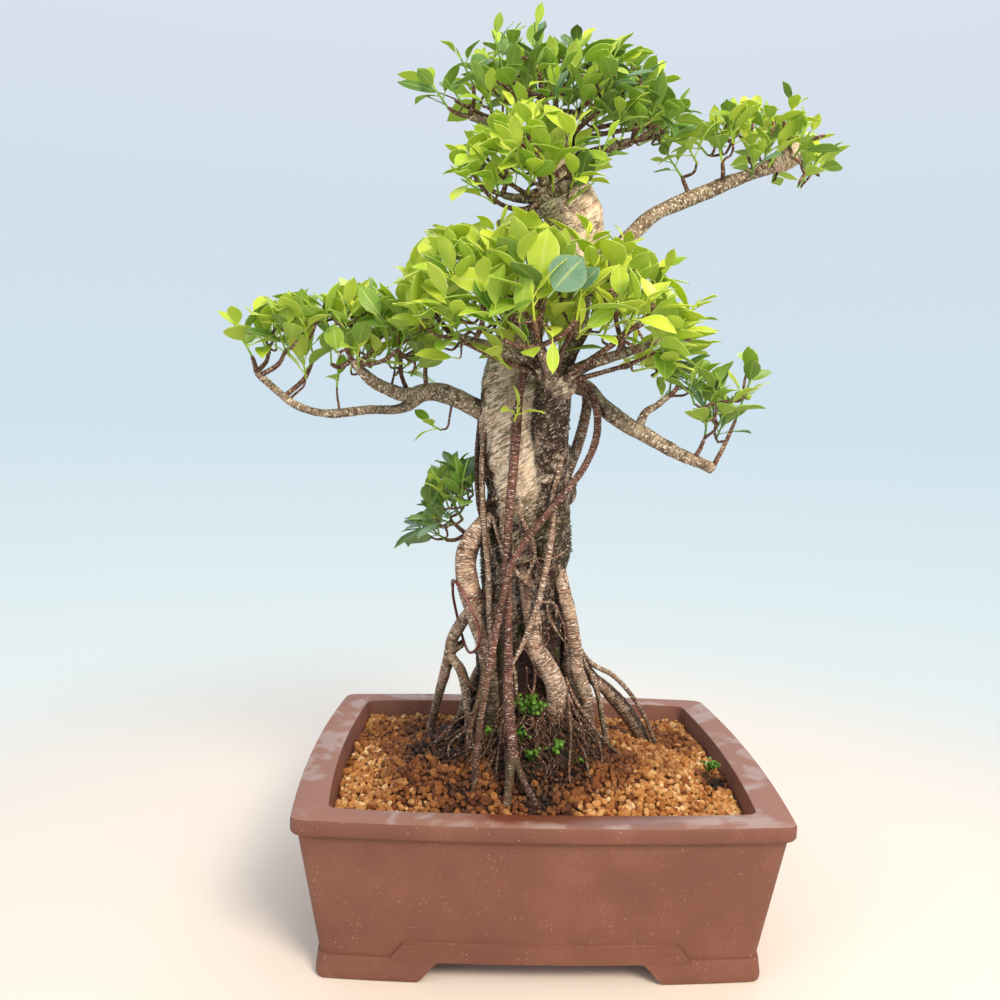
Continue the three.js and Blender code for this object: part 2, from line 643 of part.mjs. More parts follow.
// Adds a leaf to a shoot's surface, growing out of the four corners of a stem face
function addLeaf(vertices, triangles, corners, { normal, place, blade, half }) {
  const { petiole, stalkHalf, fold, droop, thickness } = LEAF;
  const wide = petiole + 0.45 * blade;
  const narrow = petiole + 0.76 * blade;
  const shoulder = 0.7 * fold * half - droop * 0.35 * blade;
  const outline = [
    place(petiole, -stalkHalf, 0),
    place(wide, -half, fold * half),
    place(narrow, -0.7 * half, shoulder),
    place(petiole + blade, 0, -droop * blade),
    place(narrow, 0.7 * half, shoulder),
    place(wide, half, fold * half),
    place(petiole, stalkHalf, 0),
    place(wide, 0, 0),
  ];
  const first = vertices.length;
  const count = outline.length;
  vertices.push(...outline.map((p) => p.clone().addScaledVector(normal, thickness / 2)));
  vertices.push(...outline.map((p) => p.clone().addScaledVector(normal, -thickness / 2)));
  const [left, right, rib] = [0, 6, 7];
  const faces = [
    [left, rib, right], [left, 1, rib], [right, rib, 5],
    [1, 2, rib], [rib, 2, 3], [rib, 3, 4], [rib, 4, 5],
  ];
  for (const [a, b, c] of faces) {
    triangles.push(first + a, first + b, first + c);
    triangles.push(first + count + a, first + count + c, first + count + b);
  }
  for (let a = left; a < right; a++) {
    const [top, next] = [first + a, first + a + 1];
    triangles.push(top, top + count, next + count, top, next + count, next);
  }
  const stalk = [first + count + left, first + count + right, first + right, first + left];
  const gapAt = (i, turn) => vertices[corners[i]].distanceToSquared(vertices[stalk[(i + turn) % 4]]);
  const spread = (turn) => [0, 1, 2, 3].reduce((sum, i) => sum + gapAt(i, turn), 0);
  const turn = [0, 1, 2, 3].reduce((best, t) => (spread(t) < spread(best) ? t : best), 0);
  for (let i = 0; i < 4; i++) {
    const [a, b] = [corners[i], corners[(i + 1) % 4]];
    const [c, d] = [stalk[(i + 1 + turn) % 4], stalk[(i + turn) % 4]];
    triangles.push(a, b, c, a, c, d);
  }
}

// Points spread over a blade, used to keep blades clear of each other
function bladePoints({ place, blade, half }) {
  const { petiole, fold, droop } = LEAF;
  const rows = [[0.1, 0.4], [0.325, 0.85], [0.55, 0.95], [0.775, 0.7], [1, 0]];
  return rows.flatMap(([share, width]) => {
    const sag = -droop * blade * share * share;
    const middle = place(petiole + share * blade, 0, sag);
    if (width === 0) return [middle];
    const lift = sag + fold * width * half;
    return [
      middle,
      place(petiole + share * blade, width * half, lift),
      place(petiole + share * blade, -width * half, lift),
    ];
  });
}

function segmentsOf(bars) {
  return bars.flatMap(({ points }) =>
    points.slice(1).map((point, k) => ({
      line: new THREE.Line3(vector(points[k]), vector(point)),
      radius: Math.max(points[k][3], point[3]),
    })),
  );
}

function touchesWood(points, reach, segments) {
  const middle = points[BLADE_MIDDLE];
  const nearest = new THREE.Vector3();
  return segments.some(({ line, radius }) => {
    line.closestPointToPoint(middle, true, nearest);
    if (nearest.distanceTo(middle) > radius + WOOD_CLEARANCE + reach) return false;
    return points.some((p) => {
      line.closestPointToPoint(p, true, nearest);
      return nearest.distanceTo(p) < radius + WOOD_CLEARANCE;
    });
  });
}

function touchesBlades(points, blades, shootName) {
  return blades.some((blade) => {
    if (blade.points[BLADE_MIDDLE].distanceTo(points[BLADE_MIDDLE]) > BLADE_REACH) return false;
    const clearance = blade.shoot === shootName ? OWN_CLEARANCE : LEAF_CLEARANCE;
    return blade.points.some((a) => points.some((b) => a.distanceTo(b) < clearance));
  });
}

function outsideBounds(points) {
  const [halfX, halfY, top] = BOUNDS;
  return points.some((p) => Math.abs(p.x) > halfX || Math.abs(p.y) > halfY || p.z > top);
}

// Distance along the stem of each ring of its surface: its foot, then one on each side of every leaf
function ringDistance(ring) {
  return ring === 0 ? GAP : SHOOT.stem * mix(SHOOT.bare, 1, (ring - 1) / SHOOT.leaves);
}

// Two directions square to the stem, which its rings are drawn in
function stemAxes(direction) {
  const side = new THREE.Vector3(direction.z, 0, -direction.x).normalize();
  return { side, across: new THREE.Vector3().crossVectors(direction, side) };
}

function stemAngle(ring, corner, phase) {
  return phase + ring * STEM_TWIST + (corner * 2 * Math.PI) / STEM_SIDES;
}

// Leaves stand on the stem's faces in turn, each tried in new directions until its blade is clear
function planLeaves(shoots, segments) {
  const stems = shoots.map(({ foot, direction, name }) => ({
    line: new THREE.Line3(foot, foot.clone().addScaledVector(direction, SHOOT.stem)),
    radius: SHOOT.footRadius,
    name,
  }));
  const blades = [];
  shoots.forEach(({ foot, direction, name, phase }, index) => {
    const random = seeded(100 + index);
    const { side, across } = stemAxes(direction);
    const up = direction.clone().multiplyScalar(0.5);
    up.z += 0.8;
    const others = [...segments, ...stems.filter((stem) => stem.name !== name)];
    for (let slot = 0; slot < SHOOT.leaves; slot++) {
      const share = (slot + 1) / SHOOT.leaves;
      const faceAngle = stemAngle(slot + 1.5, (slot % STEM_SIDES) + 0.5, phase);
      const outward = side.clone().multiplyScalar(Math.cos(faceAngle));
      outward.addScaledVector(across, Math.sin(faceAngle));
      const height = (ringDistance(slot + 1) + ringDistance(slot + 2)) / 2;
      const start = foot.clone().addScaledVector(direction, height).addScaledVector(outward, 0.8);
      const size = mix(1.08, 0.86, share) * (0.92 + 0.16 * random());
      for (let attempt = 0; attempt < ATTEMPTS; attempt++) {
        const angle = faceAngle + (random() - 0.5) * Math.min(2, 0.4 + 0.2 * attempt);
        const lean = mix(LEAF.lowestLean, LEAF.highestLean, share) + (random() - 0.5) * 0.4;
        const along = direction.clone().multiplyScalar(Math.cos(lean));
        along.addScaledVector(side, Math.sin(lean) * Math.cos(angle));
        along.addScaledVector(across, Math.sin(lean) * Math.sin(angle));
        const frame = leafFrame(start, along, up, size);
        const points = bladePoints(frame);
        if (outsideBounds(points)) continue;
        if (touchesBlades(points, blades, name)) continue;
        if (touchesWood(points, 0.6 * frame.blade, others)) continue;
        blades.push({ shoot: name, slot, frame, points });
        break;
      }
    }
  });
  return blades;
}

// One shoot: a three-sided stem whose faces carry the leaves, all one closed surface
function makeShoot({ foot, direction, name, phase }, blades) {
  const { side, across } = stemAxes(direction);
  const vertices = [];
  const triangles = [];
  const ringCount = SHOOT.leaves + 2;
  for (let ring = 0; ring < ringCount; ring++) {
    const radius = mix(SHOOT.footRadius, SHOOT.tipRadius, ring / (ringCount - 1));
    for (let corner = 0; corner < STEM_SIDES; corner++) {
      const angle = stemAngle(ring, corner, phase);
      const p = foot.clone().addScaledVector(direction, ringDistance(ring));
      p.addScaledVector(side, radius * Math.cos(angle));
      vertices.push(p.addScaledVector(across, radius * Math.sin(angle)));
    }
  }
  const own = blades.filter(({ shoot }) => shoot === name);
  for (let ring = 0; ring + 1 < ringCount; ring++) {
    for (let corner = 0; corner < STEM_SIDES; corner++) {
      const a = ring * STEM_SIDES + corner;
      const b = ring * STEM_SIDES + ((corner + 1) % STEM_SIDES);
      const corners = [a, b, b + STEM_SIDES, a + STEM_SIDES];
      const leaf = own.find(({ slot }) => slot === ring - 1 && slot % STEM_SIDES === corner);
      if (leaf) addLeaf(vertices, triangles, corners, leaf.frame);
      else triangles.push(corners[0], corners[1], corners[2], corners[0], corners[2], corners[3]);
    }
  }
  const tip = (ringCount - 1) * STEM_SIDES;
  triangles.push(0, 2, 1, tip, tip + 1, tip + 2);
  return solidOf(closedGeometry(vertices, triangles));
}

const MATERIALS = {
  stoneware: { color: 0x6e4a40, roughness: 0.75, metalness: 0 },
  soil: { color: 0x9a6a38, roughness: 0.95, metalness: 0 },
  plastic_mesh: { color: 0x2b2b2b, roughness: 0.6, metalness: 0 },
  bark: { color: 0x9c8a74, roughness: 0.85, metalness: 0 },
  leaf: { color: 0x5f9a1e, roughness: 0.45, metalness: 0 },
  wire_coating: { color: 0x8e3a2a, roughness: 0.35, metalness: 0 },
};

function meshOf(name, solid, slot) {
  const material = new THREE.MeshStandardMaterial(MATERIALS[slot]);
  material.name = slot;
  const mesh = new THREE.Mesh(geometryOf(solid), material);
  mesh.name = name;
  return mesh;
}

const shoots = planShoots();
const bars = planWood(shoots);
const blades = planLeaves(shoots, segmentsOf(bars));

const bonsai = new THREE.Group();
bonsai.name = "ficus_bonsai";
bonsai.add(meshOf("pot", makePot(), "stoneware"));
bonsai.add(meshOf("drain_mesh_left", makeDrainMesh(-1), "plastic_mesh"));
bonsai.add(meshOf("drain_mesh_right", makeDrainMesh(1), "plastic_mesh"));
bonsai.add(meshOf("soil", makeSoil(makeSockets(bars)), "soil"));
bonsai.add(meshOf("tree_wood", makeWood(bars), "bark"));
bonsai.add(meshOf("training_wire", ringBar(WIRE_LOOP, WIRE_RADIUS, 5, 24), "wire_coating"));
for (const shoot of shoots) {
  bonsai.add(meshOf(shoot.name, makeShoot(shoot, blades), "leaf"));
}

export default bonsai;
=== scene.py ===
# %% [markdown]
# # A ficus bonsai in a stoneware pot
#
# A ficus grows roots from its branches. They hang down, reach the soil and thicken, so an old
# tree stands in a braid of stems and roots. Here the solid model gives the frame: the pot, the
# wood and the first leafy shoots are where it says. This script gives each of them its fine
# shape and finish, and adds the rest of the leaves, the soil's grains, fine roots, moss and weeds.

import math

import bmesh
import bpy
import numpy as np
from mathutils import Matrix, Vector


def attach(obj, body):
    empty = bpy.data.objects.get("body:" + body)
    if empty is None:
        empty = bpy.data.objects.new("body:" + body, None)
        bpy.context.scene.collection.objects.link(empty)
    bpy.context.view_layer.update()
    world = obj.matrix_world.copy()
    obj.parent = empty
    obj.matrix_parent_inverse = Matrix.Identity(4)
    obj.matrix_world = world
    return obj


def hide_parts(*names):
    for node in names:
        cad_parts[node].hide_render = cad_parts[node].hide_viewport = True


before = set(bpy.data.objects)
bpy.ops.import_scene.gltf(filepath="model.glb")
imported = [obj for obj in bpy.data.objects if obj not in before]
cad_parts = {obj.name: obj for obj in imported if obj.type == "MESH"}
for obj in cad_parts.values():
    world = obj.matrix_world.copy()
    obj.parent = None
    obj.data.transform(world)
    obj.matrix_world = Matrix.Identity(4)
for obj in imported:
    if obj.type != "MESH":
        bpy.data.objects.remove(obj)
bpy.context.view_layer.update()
bpy.ops.object.select_all(action="DESELECT")

# %% [markdown]
# ## The camera and the room
#
# The photograph was taken from half a metre above the table and a little to the left, almost
# level, with a moderate wide angle. The pot's eight corners fix that view, and it is written
# here in millimetres and degrees. The room is a pale table that fades into a pale sky, with
# one broad soft lamp above and in front and the sky itself as fill, as in a light tent.

# %% Place the camera
MM = 0.001
CAMERA_PLACE = np.array([-68.8, -893.0, 495.7])
CAMERA_DOWN = math.radians(5.340)
CAMERA_TURN = math.radians(1.676)
CAMERA_ROLL = math.radians(1.643)
SENSOR = 36
FRAME_PIXELS = 1000
FOCAL_PIXELS = 880


def camera_axes(down, turn, roll):
    """Right, up and back of a camera that looks along +Y, tilted down, turned and rolled."""
    ahead = np.array([math.sin(turn) * math.cos(down), math.cos(turn) * math.cos(down), -math.sin(down)])
    right = np.array([math.cos(turn), -math.sin(turn), 0.0])
    up = np.cross(right, ahead)
    rolled_right = math.cos(roll) * right + math.sin(roll) * up
    rolled_up = -math.sin(roll) * right + math.cos(roll) * up
    return rolled_right, rolled_up, -ahead


bpy.ops.object.camera_add()
camera = bpy.context.object
camera.data.sensor_width = SENSOR
camera.data.lens = SENSOR * FOCAL_PIXELS / FRAME_PIXELS
axes = np.eye(4)
axes[:3, :3] = np.array(camera_axes(CAMERA_DOWN, CAMERA_TURN, CAMERA_ROLL)).T
axes[:3, 3] = CAMERA_PLACE * MM
camera.matrix_world = Matrix(axes.tolist())
camera.data.clip_end = 50
bpy.context.scene.camera = camera
bpy.context.scene.view_settings.view_transform = "Standard"
print("lens in mm:", round(camera.data.lens, 2))


# %% [markdown]
# ## Helpers for materials
#
# Colours are picked as sRGB hex values, the way a paint chart gives them, but shaders work in
# linear light, so one function turns one into the other. A second one adds a shader node with
# its settings and links. The few kinds of node that every recipe needs, such as noise or a
# colour ramp, get a short name each, so that a material reads as a recipe.

# %% Colour and node helpers
def linear(code):
    """An sRGB hex colour as linear red, green, blue and alpha."""
    parts = [int(code[i:i + 2], 16) / 255 for i in (1, 3, 5)]
    return [p / 12.92 if p <= 0.04045 else ((p + 0.055) / 1.055) ** 2.4 for p in parts] + [1.0]


def as_value(value):
    return linear(value) if isinstance(value, str) else value


def add(material, kind, inputs=None, **settings):
    """Adds a shader node. Settings are its options, inputs its sockets by name or number."""
    made = material.node_tree.nodes.new("ShaderNode" + kind)
    for name, value in settings.items():
        setattr(made, name, value)
    for name, value in (inputs or {}).items():
        if isinstance(value, bpy.types.NodeSocket):
            material.node_tree.links.new(value, made.inputs[name])
        else:
            made.inputs[name].default_value = as_value(value)
    return made


def where(material):
    """The place on the object, in metres."""
    return add(material, "TexCoord").outputs["Object"]


def stored(material, name, output="Fac"):
    """A value or a vector that is stored with the points."""
    return add(material, "Attribute", attribute_name=name).outputs[output]


def noise(material, vector, scale, detail=2.0, roughness=0.5, distortion=0.0):
    sockets = {"Vector": vector, "Scale": scale, "Detail": detail, "Roughness": roughness}
    return add(material, "TexNoise", {**sockets, "Distortion": distortion}).outputs["Fac"]


def ramp(material, share, *stops):
    """Colours at stops from low to high. A number stands for a grey."""
    made = add(material, "ValToRGB", {"Fac": share})
    elements = made.color_ramp.elements
    for k, (position, colour) in enumerate((stops[0], stops[-1], *stops[1:-1])):
        element = elements[k] if k < 2 else elements.new(position)
        element.position = position
        element.color = linear(colour) if isinstance(colour, str) else (colour, colour, colour, 1)
    return made.outputs[0]


def span(material, value, low=0.0, high=1.0, to_low=0.0, to_high=1.0):
    """A value between low and high, mapped to another pair of limits."""
    sockets = {"Value": value, 1: low, 2: high, 3: to_low, 4: to_high}
    return add(material, "MapRange", sockets).outputs[0]


def blend(material, share, one, other, how="MIX"):
    return add(material, "Mix", {0: share, 6: one, 7: other}, data_type="RGBA", blend_type=how).outputs[2]


def calc(material, operation, *values, clamp=False):
    return add(material, "Math", dict(enumerate(values)), operation=operation, use_clamp=clamp).outputs[0]


def vector_calc(material, operation, *values, output="Vector"):
    return add(material, "VectorMath", dict(enumerate(values)), operation=operation).outputs[output]


def new_material(name, **sockets):
    """A material whose surface shader has the given constant values."""
    material = bpy.data.materials.new(name)
    material.use_nodes = True
    surface = material.node_tree.nodes["Principled BSDF"]
    for socket, value in sockets.items():
        surface.inputs[socket.replace("_", " ")].default_value = as_value(value)
    return material


def finish(material, colour, rough=None, relief=None, strength=0.3, depth=0.0003):
    """Joins a recipe's colour, roughness and relief, in metres, to the surface shader."""
    surface, link = material.node_tree.nodes["Principled BSDF"], material.node_tree.links.new
    link(colour, surface.inputs["Base Color"])
    if rough:
        link(rough, surface.inputs["Roughness"])
    if relief:
        bump = add(material, "Bump", {"Height": relief, "Strength": strength, "Distance": depth})
        link(bump.outputs[0], surface.inputs["Normal"])


def mix_in(material, share, other):
    """Mixes another shader into the surface, such as light that passes through a leaf."""
    nodes = material.node_tree.nodes
    surface = nodes["Principled BSDF"].outputs[0]
    mixed = add(material, "MixShader", {0: share, 1: surface, 2: other.outputs[0]})
    material.node_tree.links.new(mixed.outputs[0], nodes["Material Output"].inputs["Surface"])


# %% [markdown]
# ## The table and the light
#
# A table top of limited size would show its edge, so the disc turns transparent towards its
# rim and the pale sky takes over. The sky runs from cream at the table to pale blue above.

# %% Make the table and the light
TABLE_RADIUS = 1.5
bpy.ops.mesh.primitive_circle_add(vertices=96, radius=TABLE_RADIUS, fill_type="NGON")
table = bpy.context.object
table.name = "table"
paint = new_material("table_paint", Base_Color="#e6d9cb", Roughness=0.6)
away = vector_calc(paint, "LENGTH", where(paint), output="Value")
fade = add(paint, "MapRange", {"Value": away, 1: 0.3, 2: 1.25}, interpolation_type="SMOOTHSTEP")
mix_in(paint, fade.outputs[0], add(paint, "BsdfTransparent"))
table.data.materials.append(paint)

world = bpy.data.worlds.new("light_tent")
bpy.context.scene.world = world
world.use_nodes = True
height = add(world, "SeparateXYZ", {0: add(world, "TexCoord").outputs["Generated"]}).outputs["Z"]
sky = ramp(
    world, span(world, height, -1, 1), (0, "#f8efe1"), (0.24, "#f8f2ea"), (0.36, "#e9f3f3"),
    (0.5, "#d0e3ee"), (0.6, "#d2e0ec"), (0.75, "#dde3ee"),
)
world.node_tree.links.new(sky, world.node_tree.nodes["Background"].inputs["Color"])

# Name, place and target in metres, size in metres, power in watts, colour
LAMPS = [
    ("key", (0.7, -1.45, 1.6), (0.0, 0.0, 0.45), 0.75, 46, "#fff1de"),
    ("left", (-1.5, -1.1, 1.0), (0.0, 0.0, 0.5), 1.3, 8, "#fbf6ee"),
    ("back", (0.3, 1.5, 1.6), (0.0, 0.0, 0.5), 1.4, 10, "#f4f8ff"),
]
for name, stand, target, size, power, colour in LAMPS:
    bpy.ops.object.light_add(type="AREA", location=stand)
    lamp = bpy.context.object
    lamp.name = "lamp_" + name
    lamp.data.size = size
    lamp.data.energy = power
    lamp.data.color = linear(colour)[:3]
    lamp.rotation_euler = (Vector(stand) - Vector(target)).to_track_quat("Z", "Y").to_euler()
print("lamps:", [lamp[0] for lamp in LAMPS])

# %% [markdown]
# ## Mesh helpers
#
# Wood, leaves and grains come by the thousand, so their points are worked out as arrays and
# turned into one mesh for each piece. Values for the materials, such as how far along a root
# a point lies, are stored with the points as named attributes.

# %% Mesh helpers
def store(mesh, **values):
    """Stores a value or a vector for each point under a name."""
    for name, amounts in values.items():
        amounts = np.asarray(amounts, np.float32)
        kind, field = ("FLOAT", "value") if amounts.ndim == 1 else ("FLOAT_VECTOR", "vector")
        mesh.attributes.new(name, kind, "POINT").data.foreach_set(field, amounts.ravel())


def new_object(name, points, faces):
    """An object from points in millimetres."""
    mesh = bpy.data.meshes.new(name)
    mesh.from_pydata((np.asarray(points) * MM).tolist(), [], faces)
    made = bpy.data.objects.new(name, mesh)
    bpy.context.scene.collection.objects.link(made)
    return made


def settle(made, material):
    """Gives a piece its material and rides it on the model's one body."""
    made.data.materials.clear()
    made.data.materials.append(material)
    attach(made, "root")
    return made


def piece(name, points, faces, material, values=None, smooth=True, sharp_above=None):
    """A finished piece from points in millimetres and the values stored with them."""
    made = new_object(name, points, faces)
    store(made.data, **(values or {}))
    if smooth:
        made.data.shade_smooth()
    if sharp_above:
        made.data.set_sharp_from_angle(angle=math.radians(sharp_above))
    return settle(made, material)


def activate(made):
    bpy.ops.object.select_all(action="DESELECT")
    made.select_set(True)
    bpy.context.view_layer.objects.active = made


def mode(name):
    bpy.ops.object.mode_set(mode=name)


def apply_modifier(made, kind, **settings):
    activate(made)
    modifier = made.modifiers.new(kind.lower(), kind)
    for name, value in settings.items():
        setattr(modifier, name, value)
    bpy.ops.object.modifier_apply(modifier=modifier.name)


def close_up():
    """Turns all faces of the shape outward and leaves edit mode."""
    bpy.ops.mesh.select_all(action="SELECT")
    bpy.ops.mesh.normals_make_consistent(inside=False)
    mode("OBJECT")


def read_points(mesh, normals=False):
    """A mesh's points, or the normals at them, as an array."""
    values = np.zeros(len(mesh.vertices) * 3, np.float32)
    if normals:
        mesh.vertex_normals.foreach_get("vector", values)
    else:
        mesh.vertices.foreach_get("co", values)
    return values.reshape(-1, 3).astype(float)


def write_points(mesh, points):
    mesh.vertices.foreach_set("co", points.astype(np.float32).ravel())
    mesh.update()


def shape_of(made):
    """A modelled shape's points and faces. The object itself is taken away."""
    points, faces = read_points(made.data), [tuple(face.vertices) for face in made.data.polygons]
    bpy.data.objects.remove(made)
    return points, faces


def smooth_noise(points, size, seed=0):
    """A smooth random field, from -1 to 1, whose lumps are about the given size across."""
    scaled = np.asarray(points, float) / size + 37.3 * seed
    cell = np.floor(scaled).astype(np.int64)
    inside = scaled - cell
    inside = inside * inside * (3 - 2 * inside)
    total = np.zeros(len(scaled))
    for corner in np.ndindex(2, 2, 2):
        x, y, z = (cell + corner).T
        mixed = (x * 73856093) ^ (y * 19349663) ^ (z * 83492791) ^ (seed * 2654435761)
        mixed = (mixed ^ (mixed >> 13)) * 1274126177
        value = ((mixed ^ (mixed >> 16)) & 65535) / 32767.5 - 1
        total += value * np.prod(np.where(corner, inside, 1 - inside), axis=1)
    return total


def seeded(seed):
    """A repeatable draw between 0 and 1, the same one that placed the solid leaves."""
    state = (seed * 7919 + 12345) % 4294967296

    def draw():
        nonlocal state
        state = (state * 1664525 + 1013904223) % 4294967296
        return state / 4294967296

    draw()
    draw()
    return draw


def between(low, high, share):
    return low + (high - low) * share

# %% [markdown]
# ## The pot
#
# The pot is pressed from brown stoneware clay in a mould, fired hard and left unglazed. Its
# plan is a rectangle with round corners and sides that bow out. A hand modeller would start
# from the plan, draw it up to the rim, and sink the inside. The foot ring is a second solid
# with S-curved arches cut through it, and the raised apron between the feet is a third. They
# are joined, and every edge is rounded a little, as a mould and a damp sponge leave it.

# %% Pot sizes in millimetres
POT_HEIGHT = 152
RIM_BAND = 16
RIM_HALF = (220, 172)
BODY_TOP_HALF = (214.5, 166.5)
BODY_LOW_HALF = (195.5, 154.5)
FOOT_HALF = (199, 158)
OPENING_HALF = (190, 146.5)
FLOOR_HALF = (176, 136)
FLOOR_TOP = 32
FLOOR_UNDER = 19
FOOT_WALL = 24
FOOT_BAND = 22
APRON_TOP = 38
APRON_RELIEF = 2.4
ARCH_LOW_HALF = (112, 90)
ARCH_TOP_HALF = (88, 68)
APRON_LOW_HALF = (137, 96)
APRON_HIGH_HALF = (117, 77)
CORNER = 10
SIDE_BOW = 8
DRAIN_RADIUS = 15
DRAIN_OFFSET = 82


def start_plan(half, height):
    """A face in the pot's plan: a rectangle with rounded corners and bowed sides."""
    bpy.ops.mesh.primitive_plane_add(size=2, location=(0, 0, 0))
    made = bpy.context.object
    mode("EDIT")
    bpy.ops.transform.resize(value=(half[0] * MM, half[1] * MM, 1))
    bpy.ops.transform.translate(value=(0, 0, height * MM))
    bpy.ops.mesh.bevel(offset=CORNER * MM, segments=5, affect="VERTICES")
    shape = bmesh.from_edit_mesh(made.data)
    for edge in shape.edges:
        edge.select = edge.calc_length() > 3 * CORNER * MM
    bpy.ops.mesh.subdivide(number_cuts=11)
    for vertex in shape.verts:
        for along, across in ((0, 1), (1, 0)):
            reach = (half[along] - CORNER) * MM
            share = vertex.co[along] / reach
            if abs(share) < 0.999:
                sign = math.copysign(1, vertex.co[across])
                vertex.co[across] += sign * SIDE_BOW * MM * (1 - share * share)
    bmesh.update_edit_mesh(made.data)
    bpy.ops.mesh.select_all(action="SELECT")
    return made


def draw_through(stations):
    """A solid drawn through plans, each given by its height and half sizes."""
    (height, half), *rest = stations
    made = start_plan(half, height)
    for next_height, next_half in rest:
        rise = (0, 0, (next_height - height) * MM)
        bpy.ops.mesh.extrude_region_move(TRANSFORM_OT_translate={"value": rise})
        bpy.ops.transform.resize(value=(next_half[0] / half[0], next_half[1] / half[1], 1))
        height, half = next_height, next_half
    close_up()
    return made


def shrunk(half, by):
    return (half[0] - by, half[1] - by)


# %% Pot body, from the outer foot line up, over the rim and down inside
band_under = POT_HEIGHT - RIM_BAND
body = draw_through([
    (FLOOR_UNDER, BODY_LOW_HALF),
    (band_under - 2, BODY_TOP_HALF),
    (band_under - 1, shrunk(BODY_TOP_HALF, -1.2)),
    (band_under + 1.2, shrunk(RIM_HALF, 1.2)),
    (band_under + 3.5, RIM_HALF),
    (POT_HEIGHT - 3.5, RIM_HALF),
    (POT_HEIGHT - 1, shrunk(RIM_HALF, 1)),
    (POT_HEIGHT, shrunk(RIM_HALF, 3.6)),
    (POT_HEIGHT, shrunk(OPENING_HALF, -3)),
    (POT_HEIGHT - 0.8, shrunk(OPENING_HALF, -0.9)),
    (POT_HEIGHT - 3, OPENING_HALF),
    (FLOOR_TOP + 3, shrunk(FLOOR_HALF, -0.5)),
    (FLOOR_TOP, shrunk(FLOOR_HALF, 2.5)),
])
body.name = "pot_stoneware"
print("pot body faces:", len(body.data.polygons))


# %% Foot ring, apron and the cutters for the arches
def s_curve(low, high, rise_from, rise_to, steps=10):
    """Points from (low, rise_from) to (high, rise_to) along an S."""
    shares = np.linspace(0, 1, steps + 1)
    lift = shares * shares * (3 - 2 * shares)
    return [(between(low, high, s), between(rise_from, rise_to, t)) for s, t in zip(shares, lift)]


def prism(outline, along_x, reach=260):
    """A bar with the given outline, right through the pot from front to back or side to side."""
    corners = [(-reach, a, z) if along_x else (a, -reach, z) for a, z in outline]
    shape = bmesh.new()
    shape.faces.new([shape.verts.new([c * MM for c in corner]) for corner in corners])
    made = new_object("prism", [], [])
    shape.to_mesh(made.data)
    shape.free()
    activate(made)
    mode("EDIT")
    bpy.ops.mesh.select_all(action="SELECT")
    step = (2 * reach * MM, 0, 0) if along_x else (0, 2 * reach * MM, 0)
    bpy.ops.mesh.extrude_region_move(TRANSFORM_OT_translate={"value": step})
    close_up()
    return made


def mirrored(half_outline):
    return half_outline + [(-a, z) for a, z in reversed(half_outline)]


def combine(made, other, operation):
    apply_modifier(made, "BOOLEAN", operation=operation, object=other, solver="EXACT")
    bpy.data.objects.remove(other)


ring = draw_through([
    (0, shrunk(FOOT_HALF, 2)),
    (0.8, shrunk(FOOT_HALF, 0.7)),
    (3, FOOT_HALF),
    (8, FOOT_HALF),
    (14, shrunk(FOOT_HALF, 0.9)),
    (19.5, shrunk(BODY_LOW_HALF, -2.1)),
    (FOOT_BAND - 0.6, shrunk(BODY_LOW_HALF, -1.6)),
    (FOOT_BAND, shrunk(BODY_LOW_HALF, 0.5)),
])
bpy.ops.mesh.primitive_cube_add(size=2)
recess = bpy.context.object
bpy.ops.transform.resize(
    value=((FOOT_HALF[0] - FOOT_WALL) * MM, (FOOT_HALF[1] - FOOT_WALL) * MM, FLOOR_UNDER * MM)
)
bpy.ops.object.transform_apply(scale=True)
combine(ring, recess, "DIFFERENCE")
for side in (0, 1):
    climb = s_curve(ARCH_TOP_HALF[side], ARCH_LOW_HALF[side], FLOOR_UNDER, 0)
    outline = mirrored(climb + [(ARCH_LOW_HALF[side] + 0.5, -2)])
    combine(ring, prism(outline, along_x=side == 1), "DIFFERENCE")

slope = [(t - b) / (band_under - FLOOR_UNDER) for t, b in zip(BODY_TOP_HALF, BODY_LOW_HALF)]
apron_stations = []
for height, relief in ((FLOOR_UNDER, APRON_RELIEF), (APRON_TOP - 2, APRON_RELIEF), (APRON_TOP, -0.5)):
    wall = [low + s * (height - FLOOR_UNDER) + relief for low, s in zip(BODY_LOW_HALF, slope)]
    apron_stations.append((height, wall))
apron = draw_through(apron_stations)
windows = []
for side in (0, 1):
    climb = s_curve(APRON_HIGH_HALF[side], APRON_LOW_HALF[side], APRON_TOP + 1, FOOT_BAND - 3)
    outline = mirrored(climb + [(APRON_LOW_HALF[side], FLOOR_UNDER - 3)])
    windows.append(prism(outline, along_x=side == 1))
combine(windows[0], windows[1], "UNION")
combine(apron, windows[0], "INTERSECT")
combine(body, ring, "UNION")
combine(body, apron, "UNION")
for side in (-1, 1):
    bpy.ops.mesh.primitive_cylinder_add(
        vertices=32, radius=DRAIN_RADIUS * MM, depth=0.05, location=(side * DRAIN_OFFSET * MM, 0, 0.025)
    )
    combine(body, bpy.context.object, "DIFFERENCE")
apply_modifier(body, "BEVEL", width=1.1 * MM, segments=2, limit_method="ANGLE", angle_limit=0.7)
activate(body)
bpy.ops.object.shade_smooth_by_angle(angle=math.radians(38))
print("pot faces:", len(body.data.polygons))
